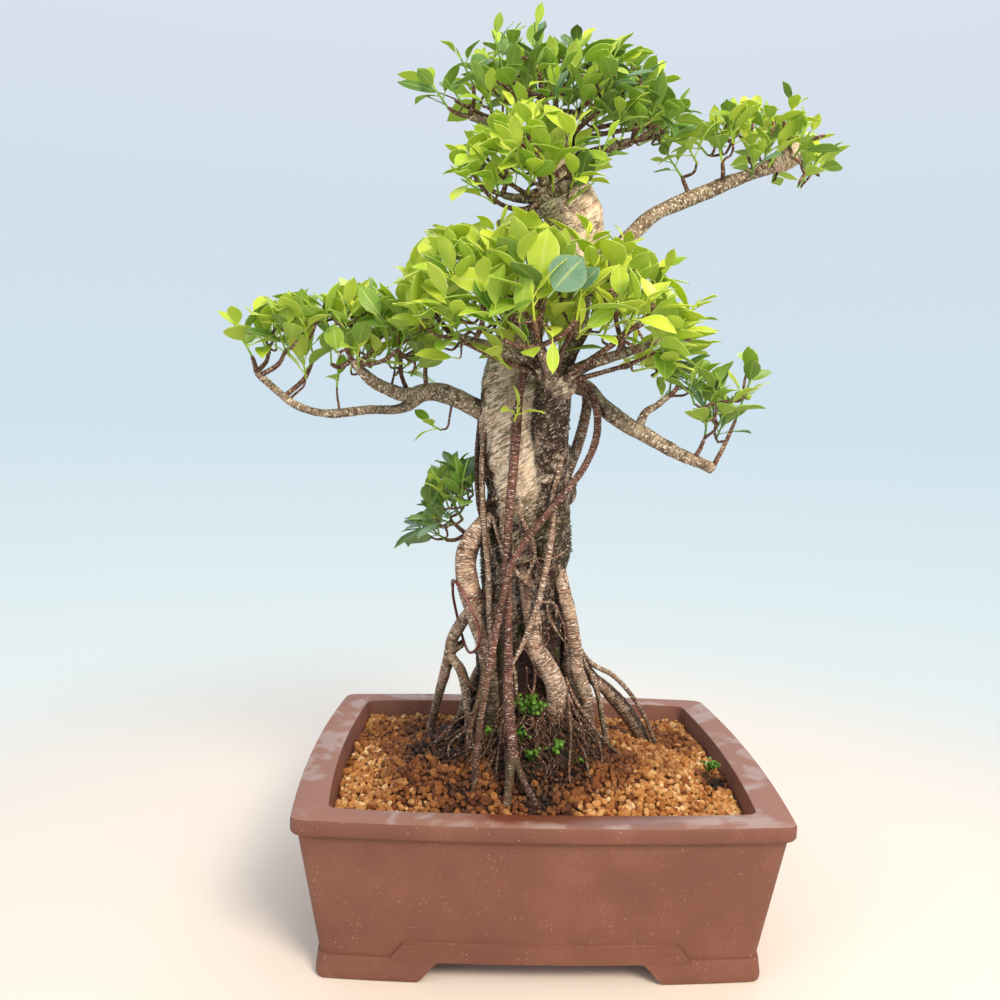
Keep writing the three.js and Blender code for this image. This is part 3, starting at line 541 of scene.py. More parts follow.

# %% [markdown]
# ### Stoneware
#
# Iron-rich stoneware fired without glaze is a dull reddish brown with a faint sheen. Coarse
# grains in the clay burn to pale specks, and the colour drifts a little from place to place.
# Water and lime leave grey, slightly shiny tide marks on the rim, partly painted sheen, and the
# rim's upper side is painted lighter, a painted highlight from the light above. The pot is darker
# where it is still wet, at the middle of the front rim and down inside.

# %% Stoneware material
WET_CENTRE = (0.035, -0.158, 0.15)
WET_NARROWNESS = (9, 42, 34)
stoneware = new_material("unglazed_stoneware", IOR=1.5)
place = where(stoneware)
clay = ramp(
    stoneware, noise(stoneware, place, 14, 5, 0.6), (0.3, "#6a3e2f"), (0.5, "#734534"), (0.7, "#7e4f3d")
)
# Specks of pale grog, 0.8 mm across and 4 mm apart
grog = add(stoneware, "TexVoronoi", {"Vector": place, "Scale": 250.0}).outputs["Distance"]
some = ramp(stoneware, noise(stoneware, place, 60), (0.45, 0), (0.7, 0.75))
specks = calc(stoneware, "MULTIPLY", ramp(stoneware, grog, (0.1, 1), (0.19, 0)), some)
speckled = blend(stoneware, specks, clay, "#bd9888")
# Tide marks on the rim's upper side, a few centimetres long, partly painted sheen. The rim's
# upward faces are painted lighter as well, a painted highlight where the light from above falls
tide = noise(stoneware, place, 19, 4, distortion=1.3)
upward = add(stoneware, "SeparateXYZ", {0: add(stoneware, "NewGeometry").outputs["Normal"]}).outputs["Z"]
height = add(stoneware, "SeparateXYZ", {0: place}).outputs["Z"]
high, level = span(stoneware, height, 0.146, 0.151), span(stoneware, upward, 0.4, 0.9)
on_rim = calc(stoneware, "MULTIPLY", high, level)
tide_marks_and_sheen = calc(stoneware, "MULTIPLY", on_rim, ramp(stoneware, tide, (0.5, 0), (0.61, 0.66)))
rim_highlight_and_tide_marks = blend(stoneware, tide_marks_and_sheen, blend(stoneware, on_rim, speckled, "#8d6150"), "#a08880")
# The wet patch at the front of the rim
offset = vector_calc(stoneware, "SUBTRACT", place, WET_CENTRE)
scaled = vector_calc(stoneware, "MULTIPLY", offset, WET_NARROWNESS)
away = calc(stoneware, "ADD", tide, vector_calc(stoneware, "LENGTH", scaled, output="Value"))
wet = span(stoneware, away, 1.5, 1.15)
gloss = calc(stoneware, "MAXIMUM", tide_marks_and_sheen, wet)
relief = calc(stoneware, "ADD", noise(stoneware, place, 900, 3), noise(stoneware, place, 45, 3))
finish(
    stoneware, blend(stoneware, wet, rim_highlight_and_tide_marks, "#6f3c28"), span(stoneware, gloss, 0, 1, 0.62, 0.33),
    relief, 0.25, 0.0006,
)
settle(body, stoneware)
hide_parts("pot")

# %% [markdown]
# ## The soil
#
# The tree stands in baked clay granules of 5 to 12 mm, which drain fast and hold little water.
# They are sold dry and ochre, and turn brown where they stay damp, which here is close to the
# trunk and behind it, while the old root ball is almost black. A first closed bed fills the
# pot up to a low mound. Granules are then laid on it on a jittered grid, each one of a few
# lumpy shapes that are modelled once and copied, turned and resized.

# %% Soil bed
SOIL_EDGE = 134
MOUND_HEIGHT = 44
MOUND_HALF = (175, 150)
MOUND_CENTRE = (0, -25)
SOIL_GAP = 0.4
BED_DEPTH = 3


def soil_height(x, y):
    """Height of the soil's mound in millimetres."""
    square = ((x - MOUND_CENTRE[0]) / MOUND_HALF[0]) ** 2 + ((y - MOUND_CENTRE[1]) / MOUND_HALF[1]) ** 2
    return SOIL_EDGE + MOUND_HEIGHT * np.maximum(0, 1 - square)


def in_plan(u, v, half):
    """Turns shares from -1 to 1 into a place in the pot's plan with its bowed sides."""
    x = u * (half[0] + SIDE_BOW * (1 - v * v))
    y = v * (half[1] + SIDE_BOW * (1 - u * u))
    over = np.stack([np.maximum(0, np.abs(a) - h + CORNER) for a, h in zip((x, y), half)])
    reach = np.linalg.norm(over, axis=0)
    both = (over > 0).all(axis=0) & (reach > CORNER)
    pull = np.where(both, CORNER / np.maximum(reach, 1e-9), 1)
    x = np.where(both, np.sign(x) * (half[0] - CORNER + over[0] * pull), x)
    y = np.where(both, np.sign(y) * (half[1] - CORNER + over[1] * pull), y)
    return x, y


# Middle and half size of each damp spot in millimetres, and how wet it is
WET_SPOTS = [
    (5, -20, 66, 60, 0.95), (0, -100, 46, 62, 0.85), (62, -78, 44, 42, 0.6), (-82, 4, 84, 70, 0.78),
    (-10, 80, 210, 72, 0.78), (108, -34, 48, 40, 0.36), (-92, -70, 74, 64, 0.5), (180, -38, 18, 24, 0.9),
    (-62, -128, 36, 28, 0.55),
]


def wetness(x, y):
    """0 where the granules are dry and ochre, 0.5 damp brown, 1 the black root ball."""
    points = np.column_stack([x, y, 0 * x])
    patches = smooth_noise(points, 45, 3) * 0.1 + smooth_noise(points, 17, 4) * 0.12
    dry = 1.0
    for middle_x, middle_y, half_x, half_y, amount in WET_SPOTS:
        far = ((x - middle_x) / half_x) ** 2 + ((y - middle_y) / half_y) ** 2
        dry = dry * (1 - amount * np.exp(-far * far))
    return np.clip(1 - dry + patches, 0, 1)


bed_half = shrunk(OPENING_HALF, SOIL_GAP + 2.2)
bpy.ops.mesh.primitive_grid_add(x_subdivisions=84, y_subdivisions=68, size=2)
bed = bpy.context.object
bed.name = "soil_bed"
places = read_points(bed.data)
x, y = in_plan(places[:, 0], places[:, 1], bed_half)
lumps = smooth_noise(np.column_stack([x, y, 0 * x]), 9, 5) * 2
write_points(bed.data, np.column_stack([x, y, soil_height(x, y) - BED_DEPTH + lumps]) * MM)
mode("EDIT")
bpy.ops.mesh.select_all(action="SELECT")
bpy.ops.mesh.region_to_loop()
floor_share = [low / high for low, high in zip(shrunk(FLOOR_HALF, SOIL_GAP + 1), bed_half)]
bpy.ops.mesh.extrude_edges_move(TRANSFORM_OT_translate={"value": (0, 0, 0)})
bpy.ops.transform.resize(value=(floor_share[0], floor_share[1], 0), center_override=(0, 0, 0))
bpy.ops.transform.translate(value=(0, 0, (FLOOR_TOP + SOIL_GAP) * MM))
bpy.ops.mesh.edge_face_add()
close_up()
bpy.ops.object.shade_smooth()
places = read_points(bed.data) / MM
store(bed.data, wet=0.2 + 0.8 * wetness(places[:, 0], places[:, 1]))
print("soil bed points:", len(places), "from", places.min(axis=0).round(1), "to", places.max(axis=0).round(1))

# %% [markdown]
# ### Baked clay
#
# The granules are matt and porous. Their colour runs from pale ochre to orange brown with
# grey-white dust on some, and darkens with water. A second noise, a tenth of a granule in
# size, pits the surface.

# %% Soil material
soil_clay = new_material("baked_clay_granules", IOR=1.45)
wet, hue = stored(soil_clay, "wet"), stored(soil_clay, "hue")
dry = ramp(
    soil_clay, hue, (0, "#85491a"), (0.25, "#a5642d"), (0.5, "#bf8446"), (0.78, "#d5a366"), (0.98, "#ebca98")
)
damp = ramp(soil_clay, hue, (0, "#46200a"), (0.5, "#774116"), (1, "#9f6632"))
black = ramp(soil_clay, hue, (0, "#170b06"), (0.6, "#2c180d"), (1, "#4e3520"))
moist = blend(soil_clay, span(soil_clay, wet, 0.15, 0.5), dry, damp)
earth = blend(soil_clay, span(soil_clay, wet, 0.62, 0.9), moist, black)
pits = noise(soil_clay, where(soil_clay), 700, 4, 0.65)
shaded = blend(soil_clay, 1.0, earth, ramp(soil_clay, pits, (0.32, 0.52), (0.66, 1.25)), "MULTIPLY")
finish(soil_clay, shaded, span(soil_clay, wet, 0.3, 1, 0.88, 0.62), pits, 0.85, 0.0011)
settle(bed, soil_clay)
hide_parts("soil")


# %% Granules
GRAIN_SHAPES = 9
GRAIN_PITCH = 5.2
GRAIN_WIDTH = (4.8, 12.4)
GRAIN_FACES = 48
# Rows lie closer than the pitch, since every other row is shifted by half of it
ROW_SHARE = 0.87
rng = np.random.default_rng(20)


def grain_shape(number, fineness=2):
    """One lumpy granule, half a unit in radius: a ball whose points are pushed in and out."""
    bpy.ops.mesh.primitive_ico_sphere_add(subdivisions=fineness, radius=0.5)
    made = bpy.context.object
    mode("EDIT")
    bpy.ops.transform.resize(value=(1, 0.72 + 0.06 * (number % 4), 0.62 + 0.07 * (number % 3)))
    mode("OBJECT")
    points = read_points(made.data)
    points *= 1 + 0.28 * smooth_noise(points, 0.36, 10 + number)[:, None]
    # Flat chips, as where a granule broke
    for chip in range(9):
        facing = rng.normal(size=3)
        facing /= np.linalg.norm(facing)
        over = np.maximum(0, points @ facing - rng.uniform(0.24, 0.38))
        points -= over[:, None] * facing
    write_points(made.data, points)
    apply_modifier(made, "DECIMATE", ratio=min(1, GRAIN_FACES / len(made.data.polygons)))
    return shape_of(made)


def any_turn(count):
    """Random turns, as rotation matrices, spread evenly over all directions."""
    q = rng.normal(size=(count, 4))
    w, a, b, c = (q / np.linalg.norm(q, axis=1)[:, None]).T
    rows = [
        [1 - 2 * (b * b + c * c), 2 * (a * b - c * w), 2 * (a * c + b * w)],
        [2 * (a * b + c * w), 1 - 2 * (a * a + c * c), 2 * (b * c - a * w)],
        [2 * (a * c - b * w), 2 * (b * c + a * w), 1 - 2 * (a * a + b * b)],
    ]
    return np.moveaxis(np.array(rows), -1, 0)


def scatter(shapes, centres, sizes, turns):
    """Copies shapes to the centres, in turn. Returns points, faces and each point's copy."""
    all_points, all_faces, owners, start = [], [], [], 0
    for k, (centre, size, turn) in enumerate(zip(centres, sizes, turns)):
        points, faces = shapes[k % len(shapes)]
        all_points.append(points @ turn.T * size + centre)
        all_faces += [tuple(start + corner for corner in face) for face in faces]
        owners.append(np.full(len(points), k))
        start += len(points)
    return np.concatenate(all_points), all_faces, np.concatenate(owners)


shapes = [grain_shape(number) for number in range(GRAIN_SHAPES)]
half = shrunk(OPENING_HALF, 5.5)
spots = []
for row in range(int(2 * (half[1] + SIDE_BOW) / (GRAIN_PITCH * ROW_SHARE)) + 1):
    y = -half[1] - SIDE_BOW + row * GRAIN_PITCH * ROW_SHARE
    for k in range(-41, 42):
        spots.append(((k + 0.5 * (row % 2)) * GRAIN_PITCH, y))
spots = np.array(spots) + rng.uniform(-0.36, 0.36, (len(spots), 2)) * GRAIN_PITCH
bow_x = half[0] + SIDE_BOW * (1 - np.clip(spots[:, 1] / half[1], -1, 1) ** 2)
bow_y = half[1] + SIDE_BOW * (1 - np.clip(spots[:, 0] / half[0], -1, 1) ** 2)
inside = (np.abs(spots[:, 0]) < bow_x) & (np.abs(spots[:, 1]) < bow_y)
under_trunk = ((spots[:, 0] + 16) / 40) ** 2 + (spots[:, 1] / 40) ** 2 < 1
spots = spots[inside & ~under_trunk]
count = len(spots)
widths = between(*GRAIN_WIDTH, rng.beta(1.7, 2.0, count))
lift = rng.uniform(-2.6, 1.2, count)
centres = np.column_stack([spots, soil_height(spots[:, 0], spots[:, 1]) + lift])
wet_of = wetness(spots[:, 0], spots[:, 1]) + rng.normal(0, 0.07, count)
hue_of = np.clip(rng.normal(0.5, 0.24, count), 0, 1)
# The dark root ball is finer than the loose granules on top
widths *= np.where(wet_of > 0.7, 0.72, 1)
for part in range(2):
    chosen = np.arange(count) % 2 == part
    points, faces, owner = scatter(shapes, centres[chosen], widths[chosen], any_turn(chosen.sum()))
    values = {"wet": wet_of[chosen][owner], "hue": hue_of[chosen][owner]}
    piece("soil_granules_%d" % (part + 1), points, faces, soil_clay, values, smooth=False)
print("granules:", count, "faces:", GRAIN_FACES * count)

# %% [markdown]
# ## The wood
#
# The wood is one living thing: a trunk of fused stems, roots that came down from the branches,
# and the branches themselves. Each is listed as points along its middle line, in millimetres,
# with a radius, and these are the lines the solid model has. A smooth curve is laid through
# them, and a tube of rings follows it.

# %% Middle lines of the wood: x, y, z, radius
TRUNK = [
    [-14, 0, 105, 48], [-16, 0, 155, 47], [-20, 0, 214, 45], [-20, 0, 267, 43], [-19, 0, 320, 42],
    [-19, 0, 372, 40], [-25, 0, 413, 37], [-36, 0, 463, 30], [-41, 0, 504, 26], [-38, 5, 544, 24],
    [-22, 8, 595, 23], [5, 10, 640, 22], [29, 12, 671, 22], [33, 12, 696, 21], [24, 8, 719, 18],
    [10, 5, 747, 15], [2, 0, 769, 11],
]
FRONT_STEM = [
    [4, -10, 353, 24], [5, -18, 395, 23], [5, -32, 446, 20], [2, -46, 485, 18], [3, -60, 514, 17],
    [5, -68, 534, 14],
]
STUBS = [
    [[25, 5, 680, 14], [5, -18, 690, 13], [-6, -36, 703, 12], [-9, -46, 719, 8]],
    [[38, 10, 684, 13], [52, 8, 690, 10]],
    [[30, 10, 668, 14], [44, 6, 676, 9]],
]
THICK_ROOTS = [
    [[-36, -8, 405, 9], [-60, -18, 388, 10], [-75, -24, 360, 10], [-74, -27, 334, 11], [-65, -30, 306, 11],
      [-56, -34, 280, 11], [-50, -38, 250, 11], [-46, -46, 212, 12], [-42, -52, 150, 12]],
    [[-58, -16, 316, 6], [-76, -12, 291, 6.2], [-88, -6, 267, 5.7], [-91, 0, 247, 5.6], [-98, 16, 215, 5.2],
      [-104, 32, 187, 4.8], [-110, 48, 155, 4.4], [-112, 54, 136, 4]],
    [[-89, -2, 252, 4.6], [-78, -12, 237, 5.2], [-72, -22, 219, 5.2], [-69, -34, 198, 4.2],
      [-66, -48, 155, 3.8]],
    [[-18, -30, 345, 7], [-12, -44, 319, 8], [-8, -50, 293, 8.3], [-6, -52, 274, 8.6], [4, -53, 258, 9],
      [14, -54, 240, 9.4], [17, -55, 222, 9.4], [12, -56, 203, 9], [6, -58, 168, 8.4]],
    [[13, -16, 356, 8], [23, -22, 323, 7.1], [31, -26, 296, 7.1], [36, -28, 270, 7.1], [39, -30, 244, 7.2],
      [47, -32, 224, 6.8], [51, -34, 200, 6.4], [53, -36, 152, 6]],
    [[26, 0, 290, 6], [45, 2, 249, 5.6], [59, 6, 228, 6.4], [72, 10, 216, 7], [87, 15, 201, 7.6],
      [101, 20, 184, 7.6], [115, 26, 163, 7.2], [128, 32, 130, 6.6]],
]
AERIAL_ROOTS = [
    [[-24, -80, 550, 4.4], [-29, -66, 522, 4.5], [-31, -60, 475, 4.8], [-36, -64, 385, 4.8],
      [-35, -71, 315, 5.4], [-32, -90, 233, 5.8], [-28, -106, 196, 5.7], [-30, -122, 175, 5.2],
      [-33, -138, 145, 4.4], [-33, -140, 132, 4]],
    [[-28, -110, 190, 4.8], [-17, -126, 168, 4], [-5, -136, 148, 3.8], [-2, -138, 130, 3.6]],
    [[12, -62, 536, 5], [35, -54, 527, 4.8], [45, -54, 506, 4.8], [46, -54, 480, 4.8], [36, -57, 453, 4.8],
      [19, -61, 429, 4.8], [-15, -68, 386, 4.8], [-29, -73, 365, 4.8], [-37, -79, 342, 4.4],
      [-48, -88, 280, 4.3], [-60, -102, 196, 4], [-63, -120, 130, 3.6]],
    [[17, -44, 497, 3.4], [12, -52, 448, 3.4], [7, -54, 420, 3.4], [6, -56, 382, 3.4], [0, -62, 344, 3.4],
      [-6, -66, 318, 3.4], [-18, -72, 285, 3.2], [-31, -78, 262, 3.2]],
    [[-62, -4, 512, 3.4], [-67, -8, 463, 3.5], [-64, -13, 413, 4], [-57, -17, 384, 4]],
    [[-58, -14, 503, 3], [-62, -22, 453, 3.5], [-60, -25, 404, 3.5], [-56, -34, 366, 3.5],
      [-53, -42, 340, 3.5], [-51, -46, 303, 3.5], [-47, -46, 268, 3.5]],
    [[30, -26, 535, 8], [41, -8, 520, 7], [40, -4, 496, 7.1], [33, 0, 465, 7.2], [21, 4, 430, 8.2],
      [2, 2, 392, 9]],
    [[35, -25, 276, 3.4], [46, -16, 252, 3], [60, -18, 224, 3.2], [66, -26, 200, 3.2], [73, -36, 158, 3],
      [75, -38, 134, 3]],
    [[34, 0, 276, 3.2], [54, -3, 247, 2.8], [81, 1, 231, 2.8], [104, 8, 206, 2.8], [121, 14, 178, 2.6],
      [134, 20, 146, 2.4], [138, 22, 130, 2.4]],
]
LIMBS = {
    "leftMain": [[-30, 2, 488, 12], [-58, -1, 500, 11], [-82, -4, 511, 9.6], [-104, -7, 519, 8.6],
      [-121, -9, 519, 8.4], [-133, -10, 513, 8]],
    "leftUpper": [[-120, -9, 518, 8], [-140, -18, 516, 7.5], [-152, -26, 519, 6.9], [-166, -36, 525, 5.9],
      [-177, -44, 534, 4.9], [-187, -54, 545, 3.8]],
    "leftLong": [[-124, -9, 516, 7], [-145, -8, 502, 5], [-175, -16, 500, 4.3], [-213, -25, 495, 4.2],
      [-241, -32, 501, 3.9], [-263, -36, 517, 3.6], [-279, -42, 532, 3.6]],
    "rightLow": [[-24, -4, 540, 13], [10, -24, 537, 11], [39, -32, 525, 8.4], [53, -34, 510, 7.9],
      [78, -38, 492, 7.4], [94, -40, 484, 6.9], [114, -42, 473, 6], [133, -43, 464, 5.5],
      [149, -44, 458, 5.5], [163, -44, 452, 6]],
    "rightFork": [[88, -40, 487, 4.6], [94, -41, 504, 3.5], [104, -42, 511, 2.9], [116, -44, 521, 2.4]],
    "upperRight": [[26, 14, 646, 14], [52, 15, 657, 9.5], [70, 16, 669, 8.5], [97, 17, 698, 7.6],
      [118, 18, 711, 7.4], [160, 20, 731, 7], [199, 22, 748, 6.7], [217, 22, 756, 7.9], [236, 22, 764, 9]],
    "midLeft": [[3, -66, 530, 11], [-21, -82, 549, 5.6], [-49, -86, 557, 4.6], [-77, -84, 565, 3.7],
      [-95, -78, 571, 2.9]],
    "midFront": [[2, -66, 528, 10], [-6, -95, 543, 5.5], [-12, -112, 551, 4.2], [-16, -122, 558, 3.1]],
    "midRight": [[8, -66, 530, 11], [29, -80, 545, 5.6], [53, -88, 554, 4.6], [79, -84, 563, 3.8],
      [101, -76, 572, 2.9]],
    "midUp": [[6, -64, 532, 12], [19, -62, 565, 6.7], [28, -56, 592, 4.8], [33, -50, 612, 3.6]],
    "midUpLeft": [[0, -62, 532, 11], [-16, -62, 566, 5.7], [-38, -58, 592, 4.8], [-59, -52, 610, 3.9],
      [-78, -48, 618, 2.9]],
    "frontLow": [[-6, -34, 697, 9], [-34, -42, 681, 4], [-54, -44, 678, 3.4]],
    "frontLeft": [[-8, -40, 706, 9], [-34, -50, 700, 4], [-50, -52, 702, 3.2]],
    "frontUp": [[-9, -44, 712, 8], [-14, -56, 722, 5], [-20, -60, 732, 3.6]],
    "frontRight": [[-6, -42, 708, 8], [12, -56, 712, 4], [22, -60, 714, 3]],
    "topLeft": [[7, 4, 751, 12], [-23, 0, 767, 7.4], [-53, -6, 778, 5.3], [-83, -10, 785, 3.6]],
    "topFront": [[3, 0, 762, 11], [-6, -12, 785, 6], [-14, -24, 800, 3.8]],
    "topUp": [[5, 3, 766, 9], [16, 18, 790, 5.6], [24, 30, 806, 4]],
    "topRight": [[11, 6, 746, 11], [32, 6, 756, 6.4], [53, 4, 763, 5.4], [78, 2, 771, 3.6]],
    "lowLeft": [[-40, 8, 366, 8], [-66, 24, 368, 5.4], [-76, 34, 372, 4]],
}
CROWNS = {
    "left": {
      "centre": [-205, -22, 478], "limbs": ["leftLong", "leftUpper", "leftMain"],
      "shoots": [[-282, -48, 547], [-272, -22, 556], [-250, -50, 553], [-230, -16, 548], [-209, -38, 542],
        [-192, -64, 560], [-164, -52, 561], [-140, -78, 556], [-146, -2, 552], [-190, 4, 566],
        [-118, -16, 556]],
    },
    "mid": {
      "centre": [4, -40, 520], "limbs": ["midLeft", "midFront", "midRight", "midUp", "midUpLeft"],
      "shoots": [[-118, -66, 600], [-100, -104, 566], [-92, -40, 634], [-66, -116, 594], [-48, -86, 636],
        [-48, -130, 563], [-16, -112, 612], [-22, -140, 578], [14, -138, 580], [24, -88, 634],
        [50, -112, 612], [58, -130, 572], [92, -66, 612], [108, -98, 578], [-14, -24, 640], [66, -26, 640]],
    },
    "front": {
      "centre": [-4, -20, 682], "limbs": ["frontLeft", "frontUp", "frontRight", "frontLow"],
      "shoots": [[-70, -52, 712], [-48, -74, 722], [-24, -88, 728], [6, -88, 722], [31, -74, 718],
        [-34, -52, 750]],
    },
    "top": {
      "centre": [6, 8, 742], "limbs": ["topLeft", "topFront", "topUp", "topRight"],
      "shoots": [[-104, -14, 791], [-80, -34, 806], [-52, -48, 814], [-20, -42, 824], [16, -14, 826],
        [50, -8, 828], [86, 0, 806], [108, 6, 784], [-14, 50, 826], [48, 56, 818], [-62, 34, 806]],
    },
    "right": {
      "centre": [205, 22, 706], "limbs": ["upperRight"],
      "shoots": [[132, 16, 742], [168, 0, 754], [205, 42, 774], [232, 8, 786], [258, 34, 768]],
    },
    "lower": {
      "centre": [146, -44, 436], "limbs": ["rightLow", "rightFork"],
      "shoots": [[150, -54, 482], [182, -44, 500], [124, -46, 532]],
    },
    "back": {
      "centre": [-50, 20, 366], "limbs": ["lowLeft"],
      "shoots": [[-90, 46, 382], [-98, 26, 366]],
    },
}


# %% Tubes along a curve
def smooth_path(knots, step):
    """Even steps along a smooth curve through the knots, and the length at each of them."""
    knots = np.array(knots, float)
    ends = np.vstack([2 * knots[0] - knots[1], knots, 2 * knots[-1] - knots[-2]])
    t = np.linspace(0, 1, 10, endpoint=False)[:, None]
    dense = [
        0.5 * (2 * b + (c - a) * t + (2 * a - 5 * b + 4 * c - d) * t**2 + (3 * b - a - 3 * c + d) * t**3)
        for a, b, c, d in zip(ends, ends[1:], ends[2:], ends[3:])
    ]
    dense = np.vstack(dense + [knots[-1:]])
    lengths = np.r_[0, np.cumsum(np.linalg.norm(np.diff(dense[:, :3], axis=0), axis=1))]
    even = np.linspace(0, lengths[-1], max(3, round(lengths[-1] / step) + 1))
    return np.column_stack([np.interp(even, lengths, column) for column in dense.T]), even


def unit(vectors):
    return vectors / np.maximum(np.linalg.norm(vectors, axis=-1, keepdims=True), 1e-9)


def frames_along(centres):
    """Two directions across the curve at each centre, which turn as little as they can."""
    ahead = unit(np.gradient(centres, axis=0))
    side = unit(np.cross(ahead[0], (0.31, 0.9, 0.23)))
    sides = []
    for direction in ahead:
        side = unit(side - direction * side.dot(direction))
        sides.append(side)
    return np.array(sides), np.cross(ahead, sides)


def tube(knots, step, sides, skin=None, seed=0):
    """A closed tube: points in mm, faces, and the bark coordinate, crest and normal at each point."""
    path, along = smooth_path(knots, step)
    centres, radii = path[:, :3], path[:, 3].copy()
    side, across = frames_along(centres)
    angle = np.linspace(0, 2 * math.pi, sides, endpoint=False)
    ring = side[:, None] * np.cos(angle)[:, None] + across[:, None] * np.sin(angle)[:, None]
    flat = [radii[:, None] * np.cos(angle), radii[:, None] * np.sin(angle)]
    bark = np.stack([*flat, np.repeat(along[:, None], sides, axis=1)], axis=-1)
    height, crest = np.zeros((2, len(path), sides))
    if skin:
        both = skin(bark.reshape(-1, 3), radii.mean(), seed)
        height, crest = (values.reshape(len(path), sides) for values in both)
    radii[-1] *= 0.72
    points = centres[:, None] + ring * (radii[:, None] + height)[..., None]
    ahead = np.cross(side, across)
    tips = np.array([centres[0] - 0.2 * radii[0] * ahead[0], centres[-1] + 0.35 * radii[-1] * ahead[-1]])
    faces = []
    last = (len(path) - 1) * sides
    for k in range(sides):
        after = (k + 1) % sides
        for start in range(0, last, sides):
            faces.append((start + k, start + after, start + sides + after, start + sides + k))
        faces.append((last + sides, after, k))
        faces.append((last + sides + 1, last + k, last + after))
    bark_ends = np.array([[0, 0, along[0]], [0, 0, along[-1]]])
    return {
        "points": np.vstack([points.reshape(-1, 3), tips]),
        "faces": faces,
        "bark": np.vstack([bark.reshape(-1, 3), bark_ends]) * MM + 0.37 * seed,
        "crest": np.r_[crest.ravel(), 0, 0],
        "normal": np.vstack([ring.reshape(-1, 3), -ahead[0], ahead[-1]]),
    }


def merge(parts, names=("bark", "crest", "normal")):
    """Several point and face sets as one, with the named attributes."""
    faces, start = [], 0
    for part in parts:
        faces += [tuple(start + corner for corner in face) for face in part["faces"]]
        start += len(part["points"])
    joined = {name: np.concatenate([part[name] for part in parts]) for name in names}
    return np.concatenate([part["points"] for part in parts]), faces, joined


def ridged(spacing, rise, uneven):
    """A skin with ridges across the root, broken up and uneven, as on an old ficus root."""
    def skin(bark, radius, seed):
        wander = smooth_noise(bark, 11, seed + 40) * 0.45 + smooth_noise(bark, 4, seed + 41) * 0.12
        wave = 0.5 + 0.5 * np.cos(2 * math.pi * (bark[:, 2] / spacing + wander))
        broken = np.clip(0.6 + 1.1 * smooth_noise(bark, 6, seed + 42), 0, 1)
        crest = wave**3 * broken
        knobs = smooth_noise(bark, 24, seed + 43) * uneven + smooth_noise(bark, 9, seed + 44) * uneven * 0.4
        return rise * crest + knobs * radius, crest
    return skin


# %% [markdown]
# ### Hollows
#
# Bark is painted darker where two roots press together, as painted shade in the narrow gaps. To
# find such places each point looks out 9 mm along its own normal and asks how near the next root
# is. The answer is stored with the point, and the bark material turns it into painted shade.

# %% Measure the hollows between the wood
PROBE = 9


def as_segments(lines):
    """The straight pieces between knots, as arrays of starts, steps and radii."""
    starts, steps, radii = [], [], []
    for knots in lines:
        knots = np.array(knots, float)
        starts.append(knots[:-1, :3])
        steps.append(np.diff(knots[:, :3], axis=0))
        radii.append(np.maximum(knots[:-1, 3], knots[1:, 3]))
    steps = np.concatenate(steps)
    return {
        "start": np.concatenate(starts), "step": steps,
        "length": (steps**2).sum(axis=1), "radius": np.concatenate(radii),
    }


def distances_to(segments, point):
    """Distance from one point to each of the wood's segments."""
    start, step, length = segments["start"], segments["step"], segments["length"]
    share = np.clip(((point - start) * step).sum(axis=1) / length, 0, 1)
    return np.linalg.norm(point - start - share[:, None] * step, axis=1)


def step_between(low, high, values):
    share = np.clip((values - low) / (high - low), 0, 1)
    return share * share * (3 - 2 * share)


def hollow_shade(points, normals, segments, skip_wide=None):
    """0 on open wood, up to 1 where other wood lies close in front of the point."""
    probes = points + normals * PROBE
    nearest = np.full(len(points), 1e9)
    for start, step, length, radius in zip(*segments.values()):
        if skip_wide and radius > skip_wide:
            continue
        offset = probes - start
        share = np.clip(offset @ step / length, 0, 1)
        away = np.sqrt(((offset - share[:, None] * step) ** 2).sum(axis=1)) - radius
        nearest = np.minimum(nearest, away)
    return np.clip(1 - nearest / 7, 0, 1)


wood_segments = as_segments([TRUNK, FRONT_STEM, *STUBS, *THICK_ROOTS, *AERIAL_ROOTS, *LIMBS.values()])


def grime_shade_and_moss(points, normals):
    """Grime, painted shade and moss on wood: painted shade in hollows, on undersides and on low back faces;
    grime towards the damp foot and in patches.
    """
    x, y, z = points.T
    damp = 1 - step_between(165, 260, z)
    patches = smooth_noise(points, 26, 61)
    shade_between_roots = hollow_shade(points, normals, wood_segments)
    shade_below = step_between(-0.2, 0.9, -normals[:, 2]) * step_between(330, 420, z)
    shade_behind = step_between(0.1, 0.8, normals[:, 1]) * (1 - step_between(300, 420, z))
    # Painted shade in hollows, under overhangs and on back faces low down, with real grime towards the damp
    # foot and in patches
    grime_and_shade = 0.02 + 0.95 * shade_between_roots + 0.55 * damp + 0.16 * patches + 0.2 * shade_below + 0.2 * shade_behind
    moss = np.clip(0.75 * (1 - step_between(200, 330, z)) + 0.8 * patches - 0.35, 0, 1)
    return np.clip(grime_and_shade, 0, 0.92), moss


# %% [markdown]
# ### Bark
#
# Ficus bark is smooth and thin. It is dotted with lenticels, pale corky slits across the
# stem, and on the roots these lengthen into ridges. One recipe makes them all: a ground that
# drifts between three tones, pale marks stretched across the stem, thin dark cracks, pale
# crests where the shape has a ridge, dark grime and painted shade in the hollows and green moss
# where the wood stays damp. The pattern follows the stem by its own coordinate, around and along it.

# %% Bark materials
def stretched_noise(material, grain, size, detail):
    """Noise whose patches have the given width and height, in metres, on the bark."""
    across, tall = (0.5 / length for length in size)
    return noise(material, vector_calc(material, "MULTIPLY", grain, (across, across, tall)), 1, detail, 0.55)


